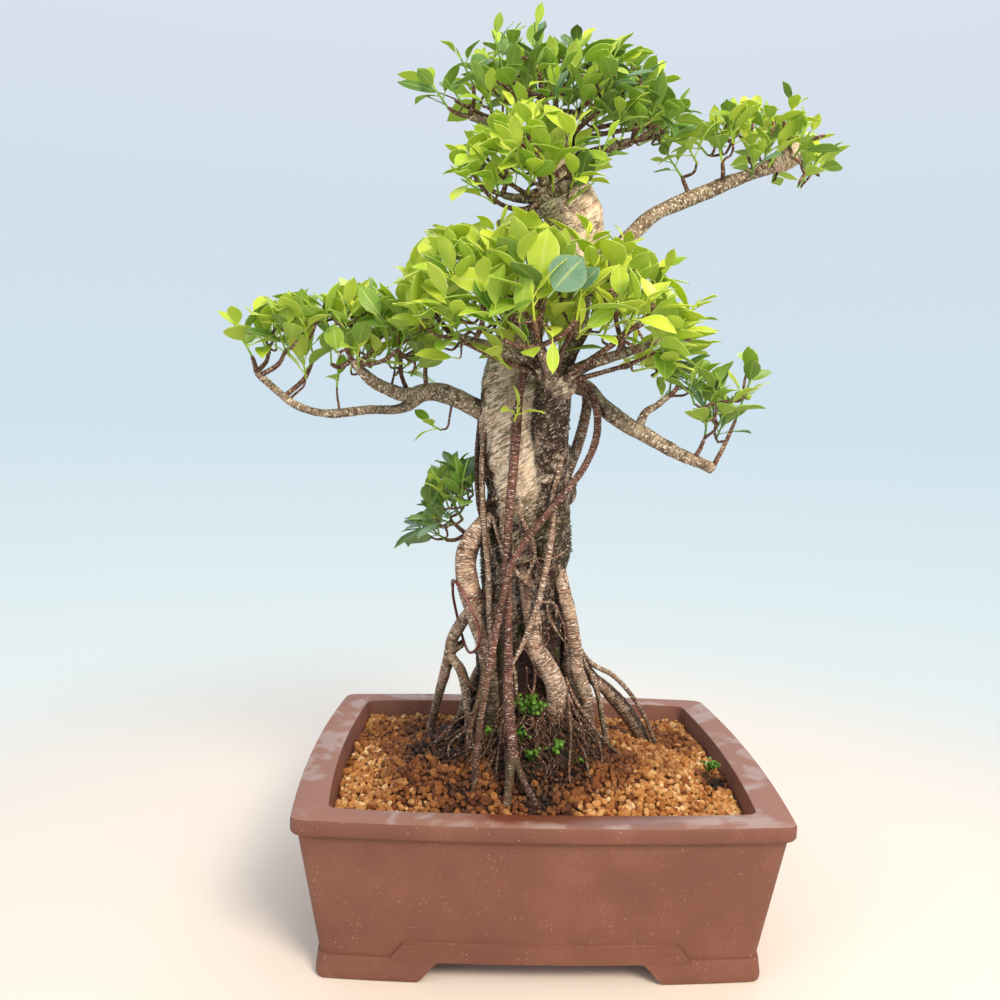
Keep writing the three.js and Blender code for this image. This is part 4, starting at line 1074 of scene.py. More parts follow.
def bark_material(
    name, tones, mark, mark_size, mark_share, crest_tone, cracks, crack_size, crack_width=0.06, mark_kept=0.25
):
    """Bark with three ground tones, marks and cracks of the given width and height in metres."""
    made = new_material(name, IOR=1.45, Roughness=0.74)
    grain, shade = stored(made, "bark", "Vector"), stored(made, "shade")
    low, middle, high = tones
    ground = ramp(made, noise(made, grain, 80, 6, 0.68), (0.34, low), (0.5, middle), (0.68, high))
    crested = blend(made, calc(made, "MULTIPLY", stored(made, "crest"), 0.5), ground, crest_tone)
    # A crack follows the middle value of a stretched noise, and fades out in worn patches
    off_centre = calc(made, "SUBTRACT", stretched_noise(made, grain, crack_size, 3), 0.5)
    line = span(made, calc(made, "ABSOLUTE", off_centre), 0, crack_width, cracks, 0)
    crack = calc(made, "MULTIPLY", line, span(made, noise(made, grain, 45), 0.36, 0.54, 0.25, 1))
    cracked = blend(made, crack, crested, "#2f1c10")
    fine = noise(made, grain, 420, 4, 0.7)
    speckle = calc(made, "ADD", fine, noise(made, grain, 150, 3, 0.6))
    # The stored shade value darkens the bark towards near black: real grime, and painted shade in hollows,
    # undersides and recesses
    patchy = calc(made, "ADD", calc(made, "MULTIPLY_ADD", speckle, 1.8, -1.8), shade, clamp=True)
    grime_and_shade = blend(made, patchy, cracked, "#2c1408")
    # Lenticels stay visible in light grime and painted shade, and go under where it is deep
    edge = 0.5 + 0.24 * (0.5 - mark_share)
    marks = ramp(made, stretched_noise(made, grain, mark_size, 2), (edge, 0), (edge + 0.04, 0.9))
    kept, seen = span(made, shade, 0.2, 0.85, 1, mark_kept), span(made, shade, 1.05, 1.15, 1, 0.05)
    marked = blend(made, calc(made, "MULTIPLY", marks, calc(made, "MULTIPLY", kept, seen)), grime_and_shade, mark)
    mossy = calc(made, "MULTIPLY", ramp(made, fine, (0.48, 0), (0.6, 0.8)), stored(made, "moss"))
    relief = calc(made, "SUBTRACT", calc(made, "ADD", marks, fine), crack)
    finish(made, blend(made, mossy, marked, "#4a4f17"), None, relief, 0.7, 0.0007)
    return made


bark_stem = bark_material(
    "bark_of_trunk", ("#ad8b70", "#dfc3a4", "#faead2"), "#f8eddd", (0.0020, 0.0009), 0.05, "#eedfcb",
    0.95, (0.0090, 0.0014), 0.062, 0.55,
)
bark_root = bark_material(
    "bark_of_thick_roots", ("#6a4631", "#a07a60", "#cdac92"), "#efe0cd", (0.0026, 0.0006), 0.2, "#e0ccb5",
    0.95, (0.0120, 0.0011), 0.055,
)
bark_aerial = bark_material(
    "bark_of_aerial_roots", ("#3a1d15", "#5c3427", "#7b4f3e"), "#d2bdac", (0.0024, 0.0005), 0.12, "#8a6454",
    0.5, (0.004, 0.0012),
)
bark_tan = bark_material(
    "bark_of_tan_roots", ("#5c3d2b", "#86644d", "#a88a71"), "#e0d0bd", (0.0020, 0.0006), 0.26, "#b89d85",
    0.5, (0.004, 0.0012),
)
bark_limb = bark_material(
    "bark_of_limbs", ("#5a412f", "#977f67", "#c9b294"), "#eadcc6", (0.0014, 0.0010), 0.22, "#d4c0a3",
    0.75, (0.005, 0.0013),
)
bark_twig = bark_material(
    "bark_of_twigs", ("#432318", "#68402f", "#87604b"), "#c9b097", (0.0014, 0.0007), 0.2, "#96725a",
    0.3, (0.003, 0.0008),
)

# %% [markdown]
# ### The trunk
#
# Down to its root ball the trunk is a bundle of old roots that have grown together, and above
# it is one pale stem with a dark one in front. The bundle's strands, the stems, the stubs,
# the collars that the branches leave from, the burls and the callus round an old pruning cut
# are tubes pushed into one another. A voxel remesh melts them into one skin, as growing wood
# does, and a fine relief is then added along its normals.

# %% Trunk
STRANDS = 8
STRAND_OFFSET = 0.6
STRAND_RADIUS = 0.36
STRAND_TWIST = math.radians(38)
BUNDLE_TOP = 470
VOXEL = 0.00195
WOUND = np.array([16.0, -73.0, 527.0])
WOUND_FACING = unit(np.array([0.4, -0.9, 0.15]))
FRONT_FOOT = [[-22, -6, 268, 12], [-6, -6, 305, 18]]
WEB = [
    [-6, -12, 372, 26], [-14, -18, 420, 24], [-18, -26, 465, 19], [-18, -30, 500, 16], [-14, -34, 528, 14],
]
BURLS = [
    [[14, -2, 408, 9], [24, -4, 422, 11], [22, -2, 437, 8]],
    [[-50, -8, 352, 6], [-56, -10, 342, 7]],
    [[18, -16, 455, 9], [22, -20, 470, 7]],
    [[-42, -22, 470, 7], [-44, -22, 478, 6]],
    [[8, -34, 372, 9], [6, -34, 385, 8]],
    [[-40, 2, 440, 9], [-47, 0, 400, 12], [-48, -4, 350, 13], [-46, -6, 300, 14], [-44, -8, 240, 14]],
]


def strand(number):
    """One of the fused roots around the foot of the trunk."""
    knots = []
    for x, y, z, radius in TRUNK:
        if z <= BUNDLE_TOP:
            angle = 2 * math.pi * number / STRANDS + STRAND_TWIST * (z - TRUNK[0][2]) / 300
            offset = radius * STRAND_OFFSET * (1 + 0.08 * math.sin(5 * number + z / 60))
            width = radius * STRAND_RADIUS * (1 + 0.16 * math.sin(3 * number + z / 45))
            knots.append([x + offset * math.cos(angle), y + offset * math.sin(angle), z, width])
    return knots


def loop_around(middle, facing, half_wide, half_high, thick, steps=12):
    """Knots of a closed ring that faces a direction, thicker on one side."""
    side = unit(np.cross(facing, (0, 0, 1)))
    rise = np.cross(side, facing)
    knots = []
    for k in range(steps + 1):
        turn = 2 * math.pi * k / steps
        place = middle + side * half_wide * math.cos(turn) + rise * half_high * math.sin(turn)
        knots.append([*place, thick * (1 + 0.25 * math.sin(turn + 1))])
    return knots


def collar(knots):
    """The first part of a branch, swollen where it leaves the wood and thin further out."""
    path, along = smooth_path(knots, 3)
    near = path[along < 3.2 * path[0, 3] + 8]
    near[:, 3] = path[: len(near), 3] * np.linspace(1.05, 0.8, len(near))
    return near.tolist()


# %% Grow the trunk together
# The photograph shows the trunk a little slimmer at half its height
TRUNK[4:7] = [[-15, 0, 320, 39], [-14, 0, 372, 35], [-20, 0, 413, 34]]
stem_line = [[x, y, z, radius * between(0.8, 1, min(1, max(0, (z - 380) / 60)))] for x, y, z, radius in TRUNK]
core_lines = [stem_line, FRONT_FOOT + FRONT_STEM, WEB, loop_around(WOUND, WOUND_FACING, 6.4, 7.2, 2.5)]
core_lines += STUBS + BURLS + [strand(number) for number in range(STRANDS)]
core_lines += [collar(knots) for knots in LIMBS.values()]
points, faces, _ = merge([tube(knots, 3, 18) for knots in core_lines])
trunk = piece("trunk_wood", points, faces, bark_stem)
apply_modifier(trunk, "REMESH", mode="VOXEL", voxel_size=VOXEL)
apply_modifier(trunk, "SMOOTH", factor=0.5, iterations=7)

points = read_points(trunk.data) / MM
normals = read_points(trunk.data, normals=True)
x, y, z = points.T
column = np.interp(z, [p[2] for p in TRUNK], [p[0] for p in TRUNK])
lean = points.copy()
lean[:, 2] -= 0.55 * (x - column)
wrinkles = smooth_noise(lean * (1, 1, 3.0), 9, 51)
lumps = smooth_noise(points, 22, 52)
flutes = smooth_noise(points * (1, 1, 0.16), 7, 53)
small_pits = np.maximum(0, smooth_noise(points, 13, 54) - 0.5) * 2
relief = 0.6 * wrinkles + 1.4 * lumps + 0.8 * flutes - 2.4 * small_pits
write_points(trunk.data, (points + normals * relief[:, None]) * MM)

# %% Where the trunk is dark, pale and mossy
patches = smooth_noise(points, 30, 55) * 0.5 + smooth_noise(points, 9, 56) * 0.35
border = np.interp(z, [320, 372, 420, 463, 504, 540], [-8, -4, -6, -12, -14, -16])
dark_column = step_between(-4, 7, x - border + 9 * patches) * step_between(300, 350, z)
dark_column *= 1 - step_between(512, 548, z)
# Darker towards the foot: a brown band of mottled bark, and lower down painted shade where the trunk sinks in
# behind its roots
foot = 1 - step_between(335, 465, z + 44 * patches)
# Near black at the bottom: painted shade in the recess behind the roots, which also hides the lenticels
buried_shade = 1 - step_between(262, 338, z + 30 * patches)
cream = dark_column * step_between(352, 384, z) * (1 - step_between(448, 484, z))
cream *= np.clip(smooth_noise(points * (1, 1, 1.3), 6, 58) * 1.4 + 0.1, 0, 0.62)
# Painted shade on the faces that turn to the left, away from the lamp
left_side_shade = step_between(0.45, 0.95, -normals[:, 0])
left_side_shade *= step_between(380, 420, z) * (1 - step_between(560, 620, z))
pale = step_between(400, 455, z) * (1 - step_between(730, 760, z)) * (1 - dark_column) * (1 - left_side_shade)
shade = 0.16 + 0.95 * dark_column + 0.78 * foot + 0.42 * left_side_shade - 0.37 * pale
# Blotches and cream patches are the bark's own; lighter lumps and darker pits are painted light and painted
# shade on the relief
shade += 0.3 * patches - 0.12 * lumps + 0.3 * small_pits - 1.2 * cream
# Painted light: the upper trunk, in the shade of the crowns, is made paler
shade -= 0.3 * step_between(590, 640, z)
# Painted shade where other wood lies close in front of the trunk, weaker high up
shade += (0.7 - 0.45 * step_between(560, 620, z)) * hollow_shade(points, normals, wood_segments, skip_wide=15)
from_wound = np.linalg.norm(points - WOUND, axis=1)
inside_wound = np.exp(-(from_wound / 4.8) ** 2)
shade *= 1 - 0.8 * np.exp(-(from_wound / 12) ** 2)
shade = np.clip(shade + 0.8 * inside_wound, 0, 1.03)
shade = np.maximum(shade, 1.2 * buried_shade)
moss = np.clip(dark_column * 0.35 + foot * 0.55 + 1.2 * patches - 0.35, 0, 1) + 0.5 * inside_wound
store(trunk.data, shade=shade, moss=moss, crest=np.clip(wrinkles, 0, 0.5), bark=lean * MM)
trunk.data.shade_smooth()
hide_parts("tree_wood")
print("trunk points:", len(points))

# %% [markdown]
# ### Roots and branches
#
# The thick roots carry close pale ridges, the aerial roots are thin, dark and dashed with
# lenticels, and the branches are grey-brown and a little knobbly. All start inside the wood
# that they grow from and end under the granules, so no end shows.

# %% Roots and branches
AXIS = np.array([p[:3] for p in TRUNK], float)


def rooted(knots, inwards=13, upwards=12, down=16):
    """The same line, started deeper inside the trunk and ended deeper in the soil."""
    first, last = np.array(knots[0], float), np.array(knots[-1], float)
    heart = np.array([*(np.interp(first[2], AXIS[:, 2], AXIS[:, k]) for k in (0, 1)), first[2]])
    start = first.copy()
    start[:3] += unit(heart - first[:3]) * min(inwards, np.linalg.norm(heart - first[:3])) + (0, 0, upwards)
    start[3] *= 0.8
    end = [[*(last[:3] - (0, 0, down)), last[3] * 0.9]] if last[2] < 175 else []
    return [start.tolist(), *knots, *end]


def grow(name, lines, step, sides, skin, material):
    """A piece made of one tube for each line, with grime, painted shade and moss, in place of the solid wood
    there.
    """
    parts = [tube(knots, step, sides, skin, seed) for seed, knots in enumerate(lines)]
    points, faces, values = merge(parts)
    values["shade"], values["moss"] = grime_shade_and_moss(points, values.pop("normal"))
    made = piece(name, points, faces, material, values)
    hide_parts("tree_wood")
    print(name, "faces:", len(faces))


# The first thick root thins out where smaller roots hide it
THICK_ROOTS[0][-3:] = [[-50, -38, 250, 8.6], [-46, -43, 214, 7], [-42, -49, 150, 6.5]]
# Roots that flare from the foot of the trunk at the back, which the photograph doesn't show
BACK_ROOTS = [
    [[-34, 24, 262, 8], [-44, 38, 226, 8.5], [-54, 54, 192, 7.5], [-64, 70, 160, 6]],
    [[-10, 34, 250, 9], [-14, 46, 218, 9], [-14, 60, 188, 8], [-20, 78, 158, 6.5]],
    [[14, 26, 266, 8], [24, 38, 228, 8.5], [30, 50, 196, 8], [42, 66, 160, 6]],
    [[-52, 8, 240, 7], [-66, 20, 210, 6.5], [-74, 34, 182, 5.5], [-80, 44, 158, 4.5]],
    [[24, 12, 300, 6], [32, 24, 262, 6], [34, 32, 226, 5.5], [50, 42, 190, 5], [62, 50, 156, 4.4]],
]
THICK_ROOTS += BACK_ROOTS
grow("thick_roots", [rooted(knots) for knots in THICK_ROOTS], 1.0, 22, ridged(3.6, 0.55, 0.12), bark_root)
# The aerial roots are slimmer in the photograph than as solids, each by its own share
SLIMMER = (0.88, 0.9, 0.74, 0.85, 0.8, 0.85, 0.76, 0.9, 0.9)
slim_roots = [[[*k[:3], k[3] * share] for k in knots] for knots, share in zip(AERIAL_ROOTS, SLIMMER)]
red_roots = [rooted(slim_roots[k], 6, 6) for k in (0, 1, 2, 4)]
grow("aerial_roots", red_roots, 1.2, 14, ridged(7.5, 0.22, 0.07), bark_aerial)
tan_roots = [rooted(slim_roots[k], 4, 4) for k in (3, 5, 6, 7, 8)]
grow("tan_roots", tan_roots, 1.2, 14, ridged(6.0, 0.3, 0.1), bark_tan)
grow("branches", LIMBS.values(), 1.5, 16, ridged(9.0, 0.35, 0.14), bark_limb)

# %% [markdown]
# ### Young branches and small roots
#
# Under each crown the main branches split into young ones, bare and red brown, that fan out
# and carry the twigs. Thin roots have come down the trunk and stuck to its front, and others
# run from its foot to the soil like tent ropes. All of them are tubes with a fainter skin,
# since young bark has few ridges.

# %% Young branches and small roots
FAN_BRANCHES = {
    "mid": [
        [[4, -72, 534, 3.7], [-14, -92, 548, 2.7], [-30, -108, 566, 2.4], [-40, -118, 584, 1.7]],
        [[6, -74, 534, 3.7], [4, -98, 550, 2.7], [10, -116, 568, 2.4], [16, -126, 586, 1.7]],
        [[8, -72, 532, 3.7], [28, -90, 546, 2.8], [46, -104, 560, 2.4], [62, -112, 576, 1.7]],
        [[-2, -70, 532, 3.7], [-26, -84, 541, 2.7], [-56, -98, 550, 2.4], [-84, -104, 562, 1.7]],
        [[8, -68, 534, 3.7], [36, -76, 552, 2.7], [62, -84, 572, 2.4], [84, -86, 592, 1.7]],
        [[0, -70, 536, 3.7], [-10, -84, 560, 2.5], [-24, -92, 584, 2.2], [-34, -96, 606, 1.7]],
        [[10, -66, 536, 3.7], [22, -78, 560, 2.7], [34, -84, 584, 2.2], [44, -88, 604, 1.7]],
        [[10, -70, 530, 3.7], [40, -88, 538, 2.5], [70, -98, 548, 2.2], [94, -98, 560, 1.7]],
    ],
    "front": [
        [[-8, -44, 710, 3.3], [-20, -60, 722, 2.6], [-34, -68, 738, 1.9], [-44, -72, 750, 1.5]],
        [[-6, -44, 712, 3.3], [-4, -62, 726, 2.6], [0, -74, 744, 1.7]],
        [[-4, -42, 710, 3.3], [14, -54, 724, 2.6], [26, -62, 742, 1.7]],
        [[-8, -42, 712, 3.3], [-16, -48, 734, 2.6], [-26, -50, 756, 1.7]],
        [[-10, -40, 702, 3.3], [-30, -54, 689, 2.6], [-52, -60, 692, 2.1], [-70, -62, 706, 1.7],
          [-80, -60, 722, 1.4]],
        [[-8, -42, 706, 3.3], [-26, -58, 702, 2.4], [-46, -68, 710, 1.9], [-60, -70, 722, 1.5]],
    ],
    "top": [
        [[5, 2, 764, 3.7], [-16, -16, 782, 2.5], [-38, -28, 798, 2.2], [-58, -34, 812, 1.7]],
        [[8, 2, 766, 3.7], [30, -10, 784, 2.5], [52, -20, 800, 2.2], [72, -24, 812, 1.7]],
        [[4, 2, 768, 3.7], [0, -22, 790, 2.4], [-4, -34, 810, 2.1]],
        [[6, 4, 766, 3.7], [34, 10, 782, 2.4], [66, 14, 792, 2.1], [92, 14, 800, 1.5]],
        [[0, 2, 764, 3.7], [-34, 4, 780, 2.4], [-68, 2, 790, 2.1], [-98, -2, 802, 1.5]],
        [[6, 4, 762, 3.7], [38, -6, 772, 2.4], [70, -10, 778, 2.1], [104, -6, 784, 1.5]],
    ],
    "right": [
        [[240, 18, 772, 3], [232, 4, 786, 2.2], [224, -4, 796, 1.5]],
        [[244, 16, 772, 3], [256, 6, 780, 2.2], [270, 2, 784, 1.5]],
        [[246, 20, 766, 2.7], [262, 20, 758, 2.1], [274, 22, 750, 1.5]],
        [[206, 22, 752, 3], [202, 12, 768, 2.2], [196, 4, 780, 1.5]],
    ],
}
fan_lines = [knots for lines in FAN_BRANCHES.values() for knots in lines]
grow("young_branches", fan_lines, 1.6, 8, ridged(7.0, 0.25, 0.16), bark_twig)
CLINGING_ROOTS = [
    [[-56, -9, 408, 2.6], [-50, -25, 415, 2.4], [-42, -33, 416, 2.2], [-33, -40, 412, 2.1],
      [-24, -43, 402, 2], [-18, -41, 390, 1.9], [-11, -39, 377, 1.9], [-8, -36, 361, 2], [-12, -39, 349, 2],
      [-19, -44, 336, 2]],
    [[-50, -25, 398, 2.2], [-46, -28, 382, 2.1], [-41, -30, 369, 2], [-37, -31, 357, 1.9],
      [-33, -34, 344, 1.8]],
    [[-56, -24, 390, 2.4], [-55, -27, 379, 2.4], [-52, -26, 366, 2.2], [-47, -26, 354, 2],
      [-39, -30, 343, 1.8]],
    [[-29, -33, 352, 1.9], [-25, -41, 345, 2], [-18, -48, 338, 2.1], [-10, -51, 332, 2.1],
      [-3, -51, 325, 2]],
    [[-51, -19, 354, 1], [-45, -28, 350, 1], [-36, -32, 350, 1], [-27, -37, 353, 1], [-17, -39, 356, 1],
      [-8, -38, 359, 1], [4, -40, 359, 1], [13, -39, 361, 1], [19, -36, 365, 0.9], [26, -24, 368, 0.8]],
    [[-6, -52, 321, 1.6], [2, -40, 316, 1.5], [11, -30, 314, 1.4], [16, -27, 308, 1.3],
      [16, -28, 298, 1.2]],
    [[6, -33, 316, 1.5], [7, -32, 304, 1.4], [12, -31, 293, 1.3], [18, -30, 283, 1.2], [27, -24, 271, 1.1]],
    [[-37, -40, 288, 2.2], [-32, -43, 274, 2.1], [-29, -44, 260, 2], [-24, -46, 244, 1.9],
      [-22, -50, 222, 1.7]],
]
grow("clinging_roots", CLINGING_ROOTS, 1.6, 8, ridged(6.0, 0.16, 0.12), bark_tan)
LOW_ROOTS = [
    [[-53, -46, 258, 3.4], [-58, -50, 225, 3.1], [-66, -53, 195, 2.9], [-69, -57, 168, 2.6]],
    [[-79, -30, 248, 2.6], [-73, -31, 232, 2.5], [-57, -32, 220, 2.3], [-48, -38, 196, 2.1],
      [-41, -57, 194, 2]],
    [[-66, -60, 189, 1.2], [-61, -84, 173, 1], [-56, -117, 156, 0.9], [-53, -135, 145, 0.8]],
    [[-37, -70, 201, 1.3], [-41, -96, 173, 1.1], [-42, -112, 159, 0.9], [-40, -136, 148, 0.8]],
    [[-32, -100, 192, 3], [-31, -112, 170, 2.8], [-32, -130, 152, 2.7], [-34, -143, 142, 2.6]],
    [[26, -52, 238, 1.6], [29, -72, 208, 1.4], [28, -90, 187, 1.2], [26, -103, 169, 1.1],
      [28, -118, 155, 1]],
    [[25, -50, 243, 2.4], [36, -51, 220, 2.2], [61, -53, 187, 1.7], [90, -58, 160, 1.2]],
    [[-5, -56, 252, 1.8], [-6, -53, 232, 1.6], [-14, -66, 206, 1.2]],
    [[-52, -48, 209, 1.6], [-69, -50, 190, 1.4], [-86, -53, 176, 1.1], [-88, -56, 161, 1]],
    [[-54, -50, 199, 1.4], [-75, -45, 188, 1.1], [-91, -40, 174, 0.8]],
    [[-46, -58, 194, 1.6], [-59, -63, 180, 1.2], [-68, -73, 163, 0.8]],
    [[-41, -60, 198, 1.3], [-52, -78, 178, 1], [-65, -88, 168, 0.7]],
    [[-62, -56, 209, 1.2], [-82, -49, 196, 0.9], [-92, -46, 176, 0.7]],
    [[-30, -60, 224, 1.5], [-46, -55, 201, 1.1], [-60, -52, 178, 0.8]],
    [[38, -72, 186, 1.5], [43, -88, 178, 1.2], [45, -104, 164, 1]],
    [[57, -66, 189, 1.5], [60, -72, 178, 1.2], [60, -79, 163, 1]],
    [[28, -40, 221, 1.3], [43, -57, 195, 1], [44, -73, 178, 0.8]],
    [[-70, -40, 232, 1.4], [-70, -37, 215, 1.2], [-62, -30, 186, 0.8]],
    [[-60, -50, 212, 1], [-77, -47, 179, 0.7], [-81, -48, 163, 0.6]],
]
grow("low_roots", LOW_ROOTS, 1.8, 8, ridged(6.0, 0.16, 0.2), bark_twig)
# The knob where the upper right branch was cut back, again and again
KNOB = [[[224, 21, 760, 7], [236, 20, 765, 11], [245, 18, 770, 11.5], [252, 17, 775, 7]]]
grow("pruned_knob", KNOB, 0.9, 26, ridged(6.0, 0.8, 0.3), bark_stem)

# %% [markdown]
# ### Fine roots
#
# Hundreds of hair roots hang between the thick ones and fan out over the soil from the foot
# of the trunk. Each is a thin tube on a wandering line: most run from the trunk down and out
# into the granules, and some cross from one root to another.

# %% Fine roots
FAN_COUNT = 74
CROSSING_COUNT = 26
rng = np.random.default_rng(12)


def wander(start, end, kinks, sway, thick, thin):
    """Knots from start to end that sway to the sides."""
    knots = []
    for share in np.linspace(0, 1, kinks + 2):
        place = between(start, end, share)
        place = place + rng.normal(size=3) * (1, 1, 0.6) * sway * math.sin(math.pi * share)
        knots.append([*place, between(thick, thin, share)])
    return knots


def on_ball(x, y):
    """Height of the old root ball's mound, which falls to the soil around the trunk's foot."""
    far = np.sqrt(((x + 2) / 72) ** 2 + ((y + 38) / 76) ** 2)
    return soil_height(x, y) + 58 * np.clip(1 - far, 0, 1) ** 0.9 - 3


fan = []
for k in range(FAN_COUNT):
    turn = rng.uniform(-math.pi, math.pi) if k % 4 == 0 else rng.uniform(-2.95, -0.15)
    heading = np.array([math.cos(turn), math.sin(turn)])
    across_ball = rng.uniform(0.45, 1.12)
    thick = rng.uniform(0.4, 0.9) if k % 6 else rng.uniform(1.1, 1.8)
    knots = []
    for share in np.linspace(0, 1, 9):
        away = between(26, 34 + 62 * across_ball, share)
        side_step = rng.normal(0, 5.5) * (0.3 + share)
        flat = np.array([-6, -22]) + heading * away + (-heading[1] * side_step, heading[0] * side_step)
        lift = rng.uniform(-1.5, 8) * math.sin(math.pi * share) - 4 * (share > 0.9)
        knots.append([*flat, on_ball(*flat) + lift, between(thick, 0.4 * thick, share)])
    fan.append(knots)
for k in range(CROSSING_COUNT):
    height = rng.uniform(225, 400)
    start = np.array([rng.uniform(-52, 24), rng.uniform(-62, -44), height])
    end = start + (rng.normal(0, 14), rng.uniform(-8, 2), -rng.uniform(25, 60))
    end[0] = np.clip(end[0], -56, 30)
    fan.append(wander(start, end, 3, 3.0, rng.uniform(0.45, 0.9), 0.45))
points, faces, values = merge([tube(knots, 3.2, 5, None, seed) for seed, knots in enumerate(fan)])
values["shade"], values["moss"] = grime_shade_and_moss(points, values.pop("normal"))
values["shade"] *= 0.5
piece("fine_roots", points, faces, bark_twig, values)
print("fine roots:", len(fan), "faces:", len(faces))

# %% [markdown]
# ## Where the shoots stand
#
# Each crown's shoots point away from its middle and up to the light. A twig leaves the
# nearest branch and bows into each shoot. The leaves stand round the green stem in a spiral
# of 137.5 degrees, the low ones leaning out, the top ones almost upright, and each is turned
# until it is clear of its neighbours. These are the solid model's own rules, so its leaves
# get their fine shape in the same places.

# %% Twigs, stems and blades
BOUNDS = np.array([303.0, 170.0, 882.0])
STEM_LENGTH = 28
STEM_RADIUS = 1.9
PETIOLE = 7
BLADE = 38
HALF_WIDTH = 10.5
FOLD = 0.24
DROOP = 0.16
WOOD_CLEARANCE = 2.5
# Leaves whose middles are further apart than this can't touch
LEAF_REACH = 60
ATTEMPTS = 16
TWIST = math.radians(17.5)
BLADE_ROWS = ((0.1, 0.4), (0.325, 0.85), (0.55, 0.95), (0.775, 0.7), (1.0, 0.0))
SHARES = np.repeat([row[0] for row in BLADE_ROWS], 3)[:13]
ACROSS = np.array([share * side for _, share in BLADE_ROWS for side in (0, 1, -1)][:13])
UP = np.array([0.0, 0.0, 1.0])


def nearest_on(lines, point):
    """The nearest point to a place on several lines of knots."""
    best = (1e9, None)
    for knots in lines:
        for a, b in zip(np.array(knots)[:, :3], np.array(knots)[1:, :3]):
            share = np.clip((point - a).dot(b - a) / (b - a).dot(b - a), 0, 1)
            place = a + share * (b - a)
            best = min(best, (np.linalg.norm(point - place), tuple(place)))
    return np.array(best[1])


def twig_line(start, foot, direction, bow, radii, shares):
    """Knots of a twig that leaves a branch and bows into the shoot's direction."""
    length = np.linalg.norm(foot - start)
    one, two = between(start, foot, 0.35), foot - direction * bow * length
    knots = []
    for t in shares:
        place = (1 - t)**3 * start + 3 * t * (1 - t)**2 * one + 3 * t * t * (1 - t) * two + t**3 * foot
        knots.append([*place, between(*radii, t)])
    return knots


def stem_axes(direction):
    side = unit(np.array([direction[2], 0, -direction[0]]))
    return side, np.cross(direction, side)


def ring_height(ring):
    return 0.3 if ring == 0 else STEM_LENGTH * between(0.25, 1, (ring - 1) / 5)


def blade_points(start, along, up, size):
    """Thirteen points spread over a leaf blade, used to keep it clear of others."""
    normal = unit(up - along * up.dot(along))
    side = np.cross(normal, along)
    blade, half = BLADE * size, HALF_WIDTH * size
    lift = FOLD * np.abs(ACROSS) * half - DROOP * blade * SHARES**2
    points = start + np.outer(PETIOLE + SHARES * blade, along) + np.outer(ACROSS * half, side)
    return points + np.outer(lift, normal)


# %% Keep leaves clear of the wood and of one another
def touches_wood(points, reach, segments, own):
    near = distances_to(segments, points[6]) <= segments["radius"] + WOOD_CLEARANCE + reach
    near &= segments["owner"] != own
    if not near.any():
        return False
    start, step = segments["start"][near], segments["step"][near]
    offset = points[:, None] - start
    share = np.clip((offset * step).sum(axis=2) / segments["length"][near], 0, 1)
    away = np.linalg.norm(offset - share[..., None] * step, axis=2)
    return bool((away < segments["radius"][near] + WOOD_CLEARANCE).any())


def touches_leaves(points, taken, own, own_clearance, clearance):
    if not taken["points"]:
        return False
    middles = np.array(taken["middles"])
    close = np.flatnonzero(np.linalg.norm(middles - points[6], axis=1) <= LEAF_REACH)
    if not len(close):
        return False
    others = np.array([taken["points"][k] for k in close])
    away = np.linalg.norm(others[:, :, None] - points, axis=3).min(axis=(1, 2))
    limit = np.where(np.array([taken["owners"][k] for k in close]) == own, own_clearance, clearance)
    return bool((away < limit).any())


def plan_leaves(shoots, first, segments, taken, clearance, fits=None):
    """Sets leaves on the stems of the shoots, each tried in new directions until it is clear."""
    for index, shoot in enumerate(shoots):
        random = seeded(100 + first + index)
        direction = shoot["direction"]
        side, across = stem_axes(direction)
        up = direction * 0.5 + UP * 0.8
        for slot in range(shoot["leaves"]):
            share = (slot + 1) / 5
            face_angle = shoot["phase"] + (slot + 1.5) * TWIST + ((slot % 3) + 0.5) * 2 * math.pi / 3
            outward = side * math.cos(face_angle) + across * math.sin(face_angle)
            height = (ring_height(slot + 1) + ring_height(slot + 2)) / 2 * shoot["stem"] / STEM_LENGTH
            start = shoot["foot"] + direction * height + outward * 0.8
            size = between(1.08, 0.86, share) * (0.92 + 0.16 * random()) * shoot["size"]
            for attempt in range(ATTEMPTS):
                angle = face_angle + (random() - 0.5) * min(2, 0.4 + 0.2 * attempt)
                lean = between(*shoot["leans"], share) + (random() - 0.5) * 0.4
                along = direction * math.cos(lean)
                along = along + (side * math.cos(angle) + across * math.sin(angle)) * math.sin(lean)
                points = blade_points(start, along, up, size)
                if (np.abs(points[:, :2]) > BOUNDS[:2]).any() or (points[:, 2] > BOUNDS[2]).any():
                    continue
                if fits and not fits(points, shoot):
                    continue
                if touches_leaves(points, taken, shoot["name"], min(4, clearance), clearance):
                    continue
                if touches_wood(points, 0.6 * BLADE * size, segments, shoot["name"]):
                    continue
                take_room(taken, points, shoot["name"])
                shoot["blades"].append({"start": start, "along": along, "up": up, "size": size, "slot": slot})
                break


def add_stems(segments, shoots):
    """The segments with the shoots' stems added, each owned by its shoot."""
    ends = [(s["foot"], s["foot"] + s["direction"] * s["stem"]) for s in shoots]
    extra = as_segments([[*foot, STEM_RADIUS], [*top, STEM_RADIUS]] for foot, top in ends)
    owners = segments.get("owner", np.full(len(segments["start"]), ""))
    joined = {key: np.concatenate([segments[key], extra[key]]) for key in extra}
    joined["owner"] = np.concatenate([owners, np.array([s["name"] for s in shoots])])
    return joined


# %% Plan the solid model's shoots
def new_shoot(name, crown, foot, direction, twig, phase, stem, leaves, size, leans=(1.1, 0.3)):
    """What is known of a shoot before its leaves are planned."""
    return {
        "name": name, "crown": crown, "foot": foot, "direction": direction, "twig": twig, "phase": phase,
        "stem": stem, "leaves": leaves, "size": size, "leans": leans, "blades": [],
    }


def take_room(taken, points, owner):
    """Notes the room that a leaf takes, so that later ones keep clear of it."""
    taken["points"].append(points)
    taken["middles"].append(points[6])
    taken["owners"].append(owner)


